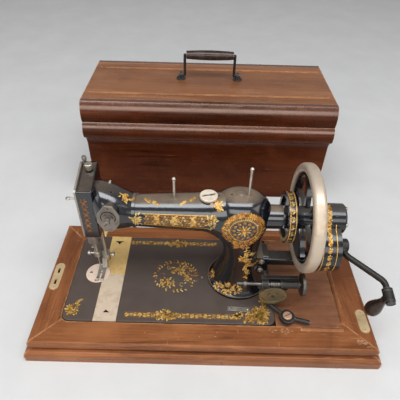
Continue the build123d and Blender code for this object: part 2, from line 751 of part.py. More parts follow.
def arm_tube():
    """Arm from the needle head's boss to the pillar, swelling into both."""
    left_r, right_r = ARM_R_LEFT, ARM_R_RIGHT
    turn = ARM_RIGHT_X - ARM_FLARE[0][0]
    tube = loft([oval_x(ARM_LEFT_X - COLLAR_W, ARM_Y, ARM_Z, left_r, left_r),
                 oval_x(turn, ARM_Y, ARM_Z, right_r, right_r)], ruled=True)
    flare = [oval_x(turn, ARM_Y, ARM_Z, right_r, right_r)]
    for along, drop, wider, taller in ARM_FLARE:
        flare.append(oval_x(turn + along, ARM_Y, ARM_Z - drop, right_r + wider, right_r + taller))
    tube += loft(flare)
    for x, r in ((ARM_LEFT_X, left_r), (ARM_RIGHT_X + COLLAR_W, right_r + 1)):
        tube += cyl_x(r + COLLAR_OUT, x - COLLAR_W / 2, x + COLLAR_W / 2, ARM_Y, ARM_Z)
    return tube


def head_outline(inset, below=0.0):
    """Side view of the needle head as (y, z) points, with its top lowered by below."""
    slope = (HEAD_Z2 - HEAD_Z1) / (HEAD_Y1 - HEAD_Y0)
    drop = inset * math.hypot(1, slope) + below
    y0, y1 = HEAD_Y0 + inset, HEAD_Y1 - inset
    waist = HEAD_Z0 + (SHAFT_Z - HEAD_Z0) / 2
    return ((y0, HEAD_Z0 + inset), (NEEDLE_Y + (PRESSER_Y - NEEDLE_Y) * 1.4 - inset, HEAD_Z0 + inset),
            (y1, waist), (y1, HEAD_Z2 - drop - slope * inset), (y0, HEAD_Z1 - drop + slope * inset))


def needle_head():
    """Needle head with its slanted, dished top and the boss that runs into the arm."""
    head = polygon_x(head_outline(0), HEAD_X0, HEAD_X1)
    head = fillet(head.edges().filter_by(Axis.X), HEAD_ROUND)
    head = fillet(head.edges().group_by(Axis.X)[-1], HEAD_ROUND / 2)
    dish = polygon_x([(y, z) for y, z in head_outline(0)[3:]] +
                     [(y, z - DISH_DEPTH) for y, z in reversed(head_outline(0)[3:])],
                     HEAD_X0 + HEAD_WALL / 2, HEAD_X1 - HEAD_WALL / 2)
    head -= dish & polygon_x(head_outline(HEAD_WALL / 2)[:2] + tuple(
        (y, z + 2 * HEAD_WALL) for y, z in head_outline(HEAD_WALL / 2)[3:]), HEAD_X0, HEAD_X1)
    boss = loft([oval_x(HEAD_X1 - HEAD_WALL, ARM_Y + 6, ARM_Z + 7, BOSS_R_Y - 7, BOSS_R_Z + 1),
                 oval_x(TENSION_X + 2, ARM_Y, ARM_Z + 4, BOSS_R_Y, BOSS_R_Z),
                 oval_x(ARM_LEFT_X - 12, ARM_Y, ARM_Z + 2, BOSS_R_Y - 4, BOSS_R_Z - 6),
                 oval_x(ARM_LEFT_X - 1, ARM_Y, ARM_Z, ARM_R_LEFT + 1, ARM_R_LEFT + 1)])
    screw_boss = cyl_z(SCREW_R + HEAD_WALL / 2, BED_Z + PRESSER_TOP, BED_Z + SCREW_TOP - SCREW_KNOB_H - 2,
                       PRESSER_X, PRESSER_Y)
    pad = cyl_y(TENSION_PAD_R, TENSION_Y, ARM_Y, TENSION_X, BED_Z + TENSION_RISE)
    lifter_stud = cyl_y(LIFTER_STUD_R, HEAD_Y1 - 1, HEAD_Y1 + LIFTER_T + 2, PRESSER_X, BED_Z + LIFTER_RISE)
    return head + boss + screw_boss + pad + lifter_stud


def arm_casting():
    body = extrude(oval_z(PILLAR_X, PILLAR_Y, BED_Z, *PILLAR_FOOT), amount=PILLAR_FOOT_H)
    body += pillar(0, PILLAR_H)
    body += arm_tube()
    body += cyl_x(REAR_BOSS_R, PILLAR_X, REAR_BOSS_X, ARM_Y, SHAFT_Z)
    pad_z = BED_Z + BRACKET_RISE
    body += box(PILLAR_X, PAD_X, ARM_Y - PAD_W / 2, ARM_Y + PAD_W / 2, pad_z - PAD_H / 2, pad_z + PAD_H / 2)
    cap_boss_r = OIL_CAP_R + 1.5
    body += cyl_z(cap_boss_r, ARM_Z, ARM_Z + ARM_R_RIGHT + 0.5, OIL_CAP_X, ARM_Y)
    body += needle_head()
    hollow_top = PILLAR_HEAD_RISE + (PILLAR_H - PILLAR_HEAD_RISE) * 0.7
    hollow = pillar(CAST_WALL, hollow_top)
    well = PILLAR_WAIST[0] - CAST_WALL
    hollow += box(PILLAR_X - well, PILLAR_X + well, ARM_Y - well, ARM_Y + well, BED_Z - 1,
                  BED_Z + 2 * PILLAR_FOOT_H)
    body -= hollow + rocker_room()
    body += cyl_x(ROCKER_PIN_R, PILLAR_X - PILLAR_FOOT[0] / 1.6, PILLAR_X + PILLAR_FOOT[0] / 1.6, ARM_Y,
                  ROCKER_Z)
    body -= cyl_x(BUSH_R + FIT_GAP, CAVITY_X1 - 1, REAR_BOSS_X + 1, ARM_Y, SHAFT_Z)
    body -= polygon_x(head_outline(HEAD_WALL, DISH_DEPTH), HEAD_X0 - 1, CAVITY_X1)
    guide_z = BED_Z + NEEDLE_BAR_BOTTOM + NEEDLE_BAR_L - NEEDLE_THROW
    guide_r = NEEDLE_BAR_R + HEAD_WALL / 2
    guide = cyl_z(guide_r, guide_z - 2, guide_z + 2, NEEDLE_X, NEEDLE_Y)
    guide += box(NEEDLE_X, CAVITY_X1 + 1, NEEDLE_Y - guide_r, NEEDLE_Y + guide_r, guide_z - 2, guide_z + 2)
    lever_side = HEAD_X0 + HEAD_WALL / 10 + TAKE_UP_T + YOKE_GAP
    guide -= box(HEAD_X0 - 1, lever_side, NEEDLE_Y - 2 * guide_r, NEEDLE_Y + 2 * guide_r, guide_z - 3,
                 guide_z + 3)
    body += guide
    body -= cyl_z(NEEDLE_BAR_R + RUN_GAP, HEAD_Z0 - 1, guide_z + 3, NEEDLE_X, NEEDLE_Y)
    body -= cyl_z(PRESSER_R + RUN_GAP, HEAD_Z0 - 1, HEAD_Z0 + 4 * HEAD_WALL, PRESSER_X, PRESSER_Y)
    body -= cyl_z(SCREW_R + RUN_GAP, BED_Z + PRESSER_TOP - 8, BED_Z + SCREW_TOP, PRESSER_X, PRESSER_Y)
    body -= cyl_y(TENSION_STUD_R, TENSION_Y - 1, ARM_Y - BUSH_R, TENSION_X, BED_Z + TENSION_RISE)
    cap_seat = ARM_Z + ARM_R_RIGHT + 0.5
    body -= cyl_z(OIL_CAP_R + RUN_GAP * 6, cap_seat, cap_seat + 4 * OIL_CAP_T, OIL_CAP_X, ARM_Y)
    for x, top in spool_pin_places():
        body -= cyl_z(PIN_R, top - PIN_SEAT, top + 20, x, ARM_Y)
    return body


def rocker_room():
    """Pocket in the pillar's wall for the rocker's fork, over its whole swing."""
    sweep = (ROCKER_TIPS - ROCKER_Z) * math.sin(math.radians(ROCKER_SWING))
    reach = ROCKER_FORK_GAP + ROCKER_FORK_T + sweep + ROCKER_ROOM
    side = ROCKER_T / 2 + ROCKER_ROOM
    foot = SHAFT_Z - ROCKER_FORK_GAP - 2 * ROCKER_FORK_T
    return box(PILLAR_X - side, PILLAR_X + side, ARM_Y - reach, ARM_Y + reach, foot - 2 * ROCKER_ROOM,
               ROCKER_TIPS + 2 * ROCKER_ROOM)


def spool_pin_places():
    """Each spool pin's x and the height of the casting under it."""
    return ((PIN_LEFT_X, ARM_Z + (ARM_R_LEFT + ARM_R_RIGHT) / 2), (PIN_RIGHT_X, BED_Z + PILLAR_H))


def spool_pins():
    pins = []
    for (x, seat), rise in zip(spool_pin_places(), (PIN_LEFT_TOP, PIN_RIGHT_TOP)):
        top = BED_Z + rise
        pin = cyl_z(PIN_R, seat - PIN_SEAT, top - PIN_BALL_R, x, ARM_Y)
        pins.append(pin + Pos(x, ARM_Y, top - PIN_BALL_R) * Sphere(PIN_BALL_R))
    return pins


def oil_cap():
    seat = ARM_Z + ARM_R_RIGHT + 0.5
    cap = fillet(upper(cyl_z(OIL_CAP_R, seat, seat + OIL_CAP_T, OIL_CAP_X, ARM_Y)), OIL_CAP_T / 3)
    return cap - box(OIL_CAP_X - OIL_CAP_R, OIL_CAP_X + OIL_CAP_R, ARM_Y - OIL_SLOT / 2, ARM_Y + OIL_SLOT / 2,
                     seat + OIL_CAP_T / 2, seat + 2 * OIL_CAP_T)


def face_plate():
    """Plate closing the head's open side, with the take-up slot and the take-up's stud."""
    plate = polygon_x(head_outline(0.3), HEAD_X0 - FACE_T, HEAD_X0)
    plate = fillet(plate.edges().filter_by(Axis.X), HEAD_ROUND)
    take_up_z = BED_Z + TAKE_UP_RISE
    end_y = TAKE_UP_Y - TAKE_UP_REACH
    travel = TAKE_UP_REACH * math.sin(math.radians(TAKE_UP_SWING)) + TAKE_UP_R + 2
    plate -= box(HEAD_X0 - FACE_T - 1, HEAD_X0 + 1, end_y - TAKE_UP_R - 2, end_y + TAKE_UP_R + 4,
                 take_up_z + TAKE_UP_LIFT - travel, take_up_z + TAKE_UP_LIFT + travel)
    return plate + cyl_x(TAKE_UP_R, HEAD_X0 - FACE_T / 2, HEAD_X0 + HEAD_WALL + TAKE_UP_T, TAKE_UP_Y,
                         take_up_z)


def take_up_lever():
    """Lever behind the face plate whose eye end stands out through the slot."""
    z = BED_Z + TAKE_UP_RISE
    x0 = HEAD_X0 + HEAD_WALL / 10
    end_y, end_z = TAKE_UP_Y - TAKE_UP_REACH, z + TAKE_UP_LIFT
    lever = cyl_x(2 * TAKE_UP_R, x0, x0 + TAKE_UP_T, TAKE_UP_Y, z)
    lever += cyl_x(TAKE_UP_R, x0, x0 + TAKE_UP_T, end_y, end_z)
    lever += polygon_x(((TAKE_UP_Y, z + 1.6 * TAKE_UP_R), (TAKE_UP_Y, z - 1.6 * TAKE_UP_R),
                        (end_y, end_z - TAKE_UP_R), (end_y, end_z + TAKE_UP_R)), x0, x0 + TAKE_UP_T)
    lever += cyl_x(TAKE_UP_R / 2, HEAD_X0 - TAKE_UP_OUT, x0 + 1, end_y, end_z)
    eye = Pos(HEAD_X0 - TAKE_UP_OUT, end_y, end_z) * Torus(TAKE_UP_R, TAKE_UP_R / 2.5)
    return lever + eye - cyl_x(TAKE_UP_R + RUN_GAP, x0 - 1, x0 + TAKE_UP_T + 1, TAKE_UP_Y, z)


def head_end_cap():
    """Rounded nickelled cap under the head that guides both bars."""
    bottom = HEAD_Z0 - END_CAP_H
    front = cyl_z(END_CAP_R, bottom, HEAD_Z0, NEEDLE_X, NEEDLE_Y)
    front = fillet(lower(front), END_CAP_R / 4)
    back_r = END_CAP_R * 0.8
    back = cyl_z(back_r, bottom + END_CAP_H / 4, HEAD_Z0, PRESSER_X, PRESSER_Y)
    back = fillet(lower(back), back_r / 4)
    web = box(PRESSER_X - back_r / 2, PRESSER_X + back_r / 4, NEEDLE_Y, PRESSER_Y, bottom + END_CAP_H / 2,
              HEAD_Z0)
    cap = front + back + web
    cap -= cyl_z(NEEDLE_BAR_R + RUN_GAP, bottom - 1, HEAD_Z0 + 1, NEEDLE_X, NEEDLE_Y)
    return cap - cyl_z(PRESSER_R + RUN_GAP, bottom - 1, HEAD_Z0 + 1, PRESSER_X, PRESSER_Y)


def needle_plate():
    plate = cyl_z(NEEDLE_PLATE_R, BED_Z - NEEDLE_PLATE_T, BED_Z, NEEDLE_PLATE_X, NEEDLE_PLATE_Y)
    plate = fillet(upper(plate), NEEDLE_PLATE_T / 4)
    plate -= cyl_z(NEEDLE_HOLE_R, BED_Z - 2 * NEEDLE_PLATE_T, BED_Z + 1, NEEDLE_X, NEEDLE_Y)
    for side in (-1, 1):
        x = NEEDLE_X + side * FEED_SLOT_OUT
        plate -= box(x - FEED_SLOT_W / 2, x + FEED_SLOT_W / 2, NEEDLE_Y - FEED_SLOT_L / 2,
                     NEEDLE_Y + FEED_SLOT_L / 2, BED_Z - 2 * NEEDLE_PLATE_T, BED_Z + 1)
    return plate


def feed_dog():
    """Two toothed bars on a carrier under the needle plate."""
    top = BED_Z - FEED_DROP
    bar_w = FEED_SLOT_W - 2 * FEED_GAP
    carrier_z = BED_Z - NEEDLE_PLATE_T - FEED_GAP
    half = FEED_SLOT_OUT + bar_w / 2
    dog = box(NEEDLE_X - half, NEEDLE_X + half, NEEDLE_Y - FEED_L / 2, NEEDLE_Y + FEED_L / 2,
              top - FEED_H, carrier_z)
    slot = NEEDLE_HOLE_R + FEED_GAP
    dog -= box(NEEDLE_X - slot, NEEDLE_X + slot, NEEDLE_Y - slot - FEED_TRAVEL, NEEDLE_Y + slot + FEED_TRAVEL,
               top - 2 * FEED_H, top)
    pitch = FEED_L / FEED_TEETH
    for side in (-1, 1):
        x = NEEDLE_X + side * FEED_SLOT_OUT
        teeth = [(NEEDLE_Y - FEED_L / 2, carrier_z - 1)]
        for i in range(FEED_TEETH):
            start = NEEDLE_Y - FEED_L / 2 + i * pitch
            teeth += [(start, top - pitch / 3), (start + pitch * 0.9, top)]
        teeth += [(NEEDLE_Y + FEED_L / 2, carrier_z - 1)]
        dog += polygon_x(teeth, x - bar_w / 2, x + bar_w / 2)
    return dog


def slide_plate(y0, y1, notch_y, towards):
    """Cover plate over the shuttle with a finger notch, cut round the needle plate."""
    top = BED_Z + SLIDE_PROUD
    plate = box(SLIDE_X0, SLIDE_X0 + SLIDE_W, y0, y1, top - SLIDE_T, top)
    plate -= cyl_z(NEEDLE_PLATE_R + SLIDE_GAP, top - 2 * SLIDE_T, top + 1, NEEDLE_PLATE_X, NEEDLE_PLATE_Y)
    middle = SLIDE_X0 + SLIDE_W / 2
    notch = polygon_z(((middle - NOTCH_W / 2, notch_y), (middle + NOTCH_W / 2, notch_y),
                       (middle, notch_y + towards * NOTCH_D)), top - SLIDE_T / 2, top + 1)
    return plate - notch


def shaft_bushes():
    front = ring_x(BUSH_R, SHAFT_R + RUN_GAP, CAVITY_X1, CAVITY_X1 + FRONT_BUSH_L, ARM_Y, SHAFT_Z)
    rear = ring_x(BUSH_R, SHAFT_R + RUN_GAP, REAR_BOSS_X - REAR_BUSH_L, REAR_BOSS_X, ARM_Y, SHAFT_Z)
    return front, rear


def main_shaft():
    """Shaft through the arm with the eccentric that rocks the lever in the pillar."""
    shaft = cyl_x(SHAFT_R, CAVITY_X1 - CRANK_DISC_T, CASE_COVER_X + LOBE_BOSS_L / 2, ARM_Y, SHAFT_Z)
    return shaft + cyl_x(ECCENTRIC_R, PILLAR_X - ECCENTRIC_W / 2, PILLAR_X + ECCENTRIC_W / 2, ARM_Y,
                         SHAFT_Z + ECCENTRIC_OFF)


def needle_crank():
    """Disc on the shaft's left end with its pin at the top of the stroke."""
    x1 = CAVITY_X1 - RUN_GAP * 10
    disc = cyl_x(CRANK_DISC_R, x1 - CRANK_DISC_T, x1, ARM_Y, SHAFT_Z)
    disc -= cyl_x(SHAFT_R + FIT_GAP, x1 - CRANK_DISC_T - 1, x1 + 1, ARM_Y, SHAFT_Z)
    return disc + cyl_x(CRANK_PIN_R, x1 - CRANK_DISC_T - CRANK_PIN_L, x1 - CRANK_DISC_T / 2, ARM_Y,
                        SHAFT_Z + NEEDLE_THROW)


def needle_bar():
    """Bar with the slotted yoke beside the crank pin."""
    bottom = BED_Z + NEEDLE_BAR_BOTTOM
    bar = cyl_z(NEEDLE_BAR_R, bottom, bottom + NEEDLE_BAR_L, NEEDLE_X, NEEDLE_Y)
    pin_z = SHAFT_Z + NEEDLE_THROW
    yoke_x1 = CAVITY_X1 - RUN_GAP * 10 - CRANK_DISC_T - CRANK_PIN_L - YOKE_GAP
    half = NEEDLE_THROW + CRANK_PIN_R + YOKE_GAP
    rim = CRANK_PIN_R + YOKE_GAP + YOKE_RIM
    yoke = box(yoke_x1 - YOKE_T, yoke_x1, ARM_Y - half - YOKE_RIM, ARM_Y + half + YOKE_RIM, pin_z - rim,
               pin_z + rim)
    yoke -= box(yoke_x1 - YOKE_T / 2, yoke_x1 + 1, ARM_Y - half, ARM_Y + half, pin_z - CRANK_PIN_R - YOKE_GAP,
                pin_z + CRANK_PIN_R + YOKE_GAP)
    collar = cyl_z(NEEDLE_BAR_R + 1.6, pin_z - rim, pin_z + rim, NEEDLE_X, NEEDLE_Y)
    return bar + yoke + collar


def needle_clamp():
    """Collar at the bar's foot with its thumb screw."""
    bottom = BED_Z + NEEDLE_BAR_BOTTOM
    clamp = fillet(upper(cyl_z(CLAMP_R, bottom - 2, bottom + CLAMP_H - 2, NEEDLE_X, NEEDLE_Y)), 1)
    screw_z = bottom + CLAMP_H / 3
    clamp += cyl_x(CLAMP_R / 3, NEEDLE_X - 2.4 * CLAMP_R, NEEDLE_X, NEEDLE_Y, screw_z)
    knob = cyl_x(CLAMP_R * 0.7, NEEDLE_X - 2.8 * CLAMP_R, NEEDLE_X - 2 * CLAMP_R, NEEDLE_Y, screw_z)
    clamp += fillet(knob.edges(), CLAMP_R * 0.15)
    clamp -= cyl_z(NEEDLE_BAR_R + FIT_GAP, bottom, bottom + CLAMP_H, NEEDLE_X, NEEDLE_Y)
    return clamp - cyl_z(NEEDLE_R + FIT_GAP, bottom - 3, bottom + 1, NEEDLE_X, NEEDLE_Y)


def needle():
    top = BED_Z + NEEDLE_BAR_BOTTOM
    shank = cyl_z(NEEDLE_R, top - NEEDLE_L + NEEDLE_TAPER, top, NEEDLE_X, NEEDLE_Y)
    tip = Pos(NEEDLE_X, NEEDLE_Y, top - NEEDLE_L + NEEDLE_TAPER / 2) * Cone(NEEDLE_R / 6, NEEDLE_R,
                                                                            NEEDLE_TAPER)
    return shank + tip


def presser_bar():
    bottom = BED_Z + FOOT_CLAMP_RISE
    bar = cyl_z(PRESSER_R, bottom, BED_Z + PRESSER_TOP, PRESSER_X, PRESSER_Y)
    collar_z = BED_Z + PRESSER_COLLAR_RISE
    return bar + cyl_z(PRESSER_COLLAR_R, collar_z, collar_z + PRESSER_COLLAR_H, PRESSER_X, PRESSER_Y)


def presser_foot():
    """Foot: clamp on the bar, shank, sole with the needle slot and turned-up toes."""
    sole_z = BED_Z + FOOT_GAP
    clamp_z = BED_Z + FOOT_CLAMP_RISE
    clamp = cyl_z(FOOT_CLAMP_R, clamp_z - FOOT_T, clamp_z + FOOT_CLAMP_H, PRESSER_X, PRESSER_Y)
    clamp -= cyl_z(PRESSER_R + FIT_GAP, clamp_z, clamp_z + FOOT_CLAMP_H + 1, PRESSER_X, PRESSER_Y)
    back = NEEDLE_Y + FOOT_L * 0.45
    front = back - FOOT_L
    x0, x1 = NEEDLE_X - FOOT_W / 2, NEEDLE_X + FOOT_W / 2
    toe = FOOT_L * 0.22
    sole = polygon_x(((back, sole_z), (back, sole_z + FOOT_T), (front + toe, sole_z + FOOT_T),
                      (front, sole_z + 2.6 * FOOT_T), (front - FOOT_T / 2, sole_z + 2 * FOOT_T),
                      (front + toe, sole_z)), x0, x1)
    sole -= box(NEEDLE_X - FOOT_SLOT / 2, NEEDLE_X + FOOT_SLOT / 2, front - FOOT_T, NEEDLE_Y + FOOT_SLOT,
                sole_z - 1,
                sole_z + 3 * FOOT_T)
    shank = polygon_x(((back, sole_z + FOOT_T / 2), (back - FOOT_T * 2.5, sole_z + FOOT_T),
                       (PRESSER_Y - FOOT_CLAMP_R, clamp_z + FOOT_CLAMP_H / 3),
                       (PRESSER_Y, clamp_z + FOOT_CLAMP_H / 3),
                       (PRESSER_Y, clamp_z - FOOT_T)), NEEDLE_X, x1 + FOOT_T)
    bore = cyl_z(PRESSER_R + FIT_GAP, clamp_z, clamp_z + FOOT_CLAMP_H + 1, PRESSER_X, PRESSER_Y)
    screw = cyl_x(FOOT_CLAMP_R / 3, PRESSER_X + FOOT_CLAMP_R / 2, PRESSER_X + FOOT_CLAMP_R * 1.5, PRESSER_Y,
                  clamp_z + FOOT_CLAMP_H / 1.6)
    head = cyl_x(FOOT_CLAMP_R * 0.6, PRESSER_X + FOOT_CLAMP_R * 1.4, PRESSER_X + FOOT_CLAMP_R * 2, PRESSER_Y,
                 clamp_z + FOOT_CLAMP_H / 1.6)
    return clamp + sole + (shank - bore) + (screw - bore) + head


def presser_spring():
    collar_top = BED_Z + PRESSER_COLLAR_RISE + PRESSER_COLLAR_H
    seat = BED_Z + SCREW_TOP - SCREW_KNOB_H - SCREW_L
    radius = (PRESSER_R + SCREW_R) / 2 + PRESS_SPRING_WIRE / 4
    start = collar_top + PRESS_SPRING_WIRE + FIT_GAP
    plane = Plane(origin=(PRESSER_X, PRESSER_Y, start), z_dir=(0, 0, 1))
    length = seat - start - PRESS_SPRING_WIRE - FIT_GAP
    return coil(plane, radius, length, PRESS_SPRING_TURNS, PRESS_SPRING_WIRE)


def pressure_screw():
    """Hollow screw that loads the spring, with a knurled knob."""
    top = BED_Z + SCREW_TOP
    shank_z = top - SCREW_KNOB_H - SCREW_L
    screw = cyl_z(SCREW_R, shank_z, top - SCREW_KNOB_H + 1, PRESSER_X, PRESSER_Y)
    knob = cyl_z(SCREW_KNOB_R, top - SCREW_KNOB_H, top, PRESSER_X, PRESSER_Y)
    knob = chamfer(upper(knob) + lower(knob), SCREW_KNOB_H / 8)
    screw += knob
    return screw - cyl_z(PRESSER_R + RUN_GAP * 8, shank_z - 1, top - SCREW_KNOB_H, PRESSER_X, PRESSER_Y)


def presser_lifter():
    """Cam lever on the back of the head."""
    z = BED_Z + LIFTER_RISE
    y0 = HEAD_Y1 + RUN_GAP * 6
    y1 = y0 + LIFTER_T
    lever = cyl_y(LIFTER_HUB_R, y0, y1, PRESSER_X, z)
    lever += polygon_y(((PRESSER_X, z + LIFTER_HUB_R * 0.8), (PRESSER_X, z - LIFTER_HUB_R * 0.8),
                        (PRESSER_X + LIFTER_ARM, z - LIFTER_ARM / 2),
                        (PRESSER_X + LIFTER_ARM, z - LIFTER_ARM / 4)),
                       y0, y1)
    lever += cyl_y(LIFTER_HUB_R * 0.7, y0, y1, PRESSER_X + LIFTER_ARM, z - LIFTER_ARM * 0.375)
    return lever - cyl_y(LIFTER_STUD_R + RUN_GAP, y0 - 1, y1 + 1, PRESSER_X, z)


def tension_plate():
    """Long eight-sided plate behind the tension discs, leaning towards the arm."""
    z = BED_Z + TENSION_RISE
    half, tall = TENSION_PLATE_W / 2, TENSION_PLATE_H / 2
    right = [(half * 0.38, tall), (half, tall * 0.33), (half, -tall * 0.33), (half * 0.38, -tall)]
    lean = math.radians(TENSION_PLATE_LEAN)
    corners = []
    for x, up in right + [(-x, up) for x, up in reversed(right)]:
        corners.append((TENSION_X + x * math.cos(lean) + up * math.sin(lean),
                        z - TENSION_PLATE_DROP - x * math.sin(lean) + up * math.cos(lean)))
    plate = polygon_y(corners, TENSION_Y - TENSION_PLATE_T, TENSION_Y)
    plate = fillet(plate.edges().filter_by(Axis.Y), TENSION_PLATE_R)
    plate = fillet(plate.faces().sort_by(Axis.Y)[0].edges(), TENSION_PLATE_T / 4)
    return plate - cyl_y(TENSION_STUD_R + FIT_GAP, TENSION_Y - 10, TENSION_Y + 1, TENSION_X, z)


def tension_stack():
    """Front faces of the plate, discs, spring and nut, going forward from the boss."""
    plate = TENSION_Y - TENSION_PLATE_T
    discs = plate - 3 * TENSION_DISC_T
    spring = discs - TENSION_SPRING_L
    return plate, discs, spring, spring - TENSION_NUT_L


def tension_discs():
    """Two dished discs on the stud."""
    z = BED_Z + TENSION_RISE
    plate, discs, spring, nut = tension_stack()
    stack = cyl_y(TENSION_STUD_R, nut + 1, ARM_Y - BUSH_R - 1, TENSION_X, z)
    for start in (plate - TENSION_DISC_T / 4, discs + TENSION_DISC_T):
        stack += cyl_y(TENSION_DISC_R, start - TENSION_DISC_T, start, TENSION_X, z)
    stack += cyl_y(TENSION_DISC_R * 0.5, discs, plate - TENSION_DISC_T / 4, TENSION_X, z)
    return stack


def tension_spring():
    z = BED_Z + TENSION_RISE
    plate, discs, spring, nut = tension_stack()
    start = discs - TENSION_SPRING_WIRE - FIT_GAP
    plane = Plane(origin=(TENSION_X, start, z), z_dir=(0, -1, 0))
    length = TENSION_SPRING_L - 2 * TENSION_SPRING_WIRE - 8 * RUN_GAP
    return coil(plane, TENSION_DISC_R * 0.45, length, TENSION_SPRING_TURNS, TENSION_SPRING_WIRE)


def tension_nut():
    z = BED_Z + TENSION_RISE
    plate, discs, spring, end = tension_stack()
    nut = cyl_y(TENSION_NUT_R, end, spring, TENSION_X, z)
    nut = chamfer(nut.edges().group_by(Axis.Y)[0], TENSION_NUT_L / 6)
    return nut - cyl_y(TENSION_STUD_R + RUN_GAP, end + 0.5, spring + 1, TENSION_X, z)


def rim_section(deep, wide, outer, round_r):
    """Rounded ring section of the wheel, as a solid of revolution about the shaft."""
    plane = Plane(origin=(WHEEL_X, ARM_Y, SHAFT_Z), x_dir=(1, 0, 0), z_dir=(0, -1, 0))
    section = plane * Pos(0, outer - deep / 2) * RectangleRounded(wide, deep, round_r)
    return revolve(section, axis=Axis((WHEEL_X, ARM_Y, SHAFT_Z), (1, 0, 0)))


def wheel_rim():
    return rim_section(RIM_DEEP, RIM_W, WHEEL_R, RIM_DEEP * 0.42)


def hand_wheel():
    """Felloe, curved spokes and hub of the hand wheel."""
    inner = WHEEL_R - RIM_DEEP
    wheel = ring_x(inner - FIT_GAP, inner - FELLOE_T, WHEEL_X - RIM_W / 3, WHEEL_X + RIM_W / 3, ARM_Y,
                   SHAFT_Z)
    plane = Plane(origin=(WHEEL_X - SPOKE_T / 2, ARM_Y, SHAFT_Z), x_dir=(0, 1, 0), z_dir=(1, 0, 0))
    reach = inner - FELLOE_T
    curve = ThreePointArc((WHEEL_HUB_R * 0.6, 0), (reach / 2, SPOKE_BOW), (reach, 0))
    spoke = extrude(plane * trace(curve, SPOKE_W), amount=SPOKE_T)
    axis = Axis((WHEEL_X, ARM_Y, SHAFT_Z), (1, 0, 0))
    for i in range(SPOKES):
        wheel += spoke.rotate(axis, 360 * i / SPOKES)
    hub_x0 = PULLEY_X + PULLEY_W / 2
    hub = cyl_x(WHEEL_HUB_R, hub_x0, WHEEL_X + WHEEL_HUB_L / 2 - 2, ARM_Y, SHAFT_Z)
    wheel += fillet(hub.edges().group_by(Axis.X)[-1], 2)
    return wheel - cyl_x(SHAFT_R + FIT_GAP, hub_x0 - 1, WHEEL_X + WHEEL_HUB_L, ARM_Y, SHAFT_Z)


def belt_pulley():
    """Small belt pulley with a shallow crowned groove."""
    x0, x1 = PULLEY_X - PULLEY_W / 2, PULLEY_X + PULLEY_W / 2
    pulley = cyl_x(PULLEY_R, x0, x1, ARM_Y, SHAFT_Z)
    groove = ring_x(PULLEY_R + 1, PULLEY_R - PULLEY_GROOVE, PULLEY_X - PULLEY_W / 4,
                    PULLEY_X + PULLEY_W / 4, ARM_Y,
                    SHAFT_Z)
    dish = ring_x(PULLEY_R * 0.8, WHEEL_HUB_R, x0 - 1, x0 + PULLEY_W / 3, ARM_Y, SHAFT_Z)
    pulley -= groove
    pulley -= dish
    return pulley - cyl_x(SHAFT_R + FIT_GAP, x0 - 1, x1 + 1, ARM_Y, SHAFT_Z)


def gear(teeth, width, x, y, z, tooth_at):
    """Spur gear along X; one tooth is centred at an angle from +Y towards +Z."""
    pitch_r = GEAR_MODULE * teeth / 2
    pressure = math.radians(20)
    base_r = pitch_r * math.cos(pressure)
    radii = (pitch_r - GEAR_MODULE * (GEAR_STUB + 0.25), pitch_r, pitch_r + GEAR_MODULE * GEAR_STUB)

    def involute(r):
        cosine = min(1.0, base_r / r)
        angle = math.acos(cosine)
        return math.tan(angle) - angle

    half_tooth = math.pi / (2 * teeth) - GEAR_BACKLASH / (4 * pitch_r) + involute(pitch_r)
    halves = [half_tooth - involute(r) for r in radii]
    points = []
    for i in range(teeth):
        middle = math.radians(tooth_at) + 2 * math.pi * i / teeth
        flank = [(r, middle - half) for r, half in zip(radii, halves)]
        flank += [(r, middle + half) for r, half in reversed(list(zip(radii, halves)))]
        points += [(y + r * math.cos(a), z + r * math.sin(a)) for r, a in flank]
    return polygon_x(points, x - width / 2, x + width / 2)


def mesh_angle():
    """Direction from the crank gear's axis to the pinion's axis."""
    return math.degrees(math.atan2(SHAFT_Z - CRANK_Z, ARM_Y - CRANK_Y))


def pinion():
    half_tooth = 180 / PINION_TEETH
    wheel = gear(PINION_TEETH, PINION_W, GEAR_X, ARM_Y, SHAFT_Z, mesh_angle() + 180 + half_tooth)
    return wheel - cyl_x(SHAFT_R + FIT_GAP, CASE_X0, CASE_COVER_X, ARM_Y, SHAFT_Z)


def crank_gear():
    wheel = gear(CRANK_TEETH, CRANK_GEAR_W, GEAR_X, CRANK_Y, CRANK_Z, mesh_angle())
    web = ring_x(CRANK_PITCH_R * 0.8, CRANK_BOSS_R, GEAR_X + CRANK_GEAR_W / 4, GEAR_X + CRANK_GEAR_W,
                 CRANK_Y, CRANK_Z)
    wheel -= web
    return wheel - cyl_x(CRANK_SHAFT_R + FIT_GAP, CASE_X0, CASE_COVER_X, CRANK_Y, CRANK_Z)


def lobes(inset, x0, x1):
    """Two-lobed form of the gear case."""
    return (cyl_x(PINION_LOBE_R - inset, x0, x1, ARM_Y, SHAFT_Z) +
            cyl_x(CRANK_LOBE_R - inset, x0, x1, CRANK_Y, CRANK_Z))


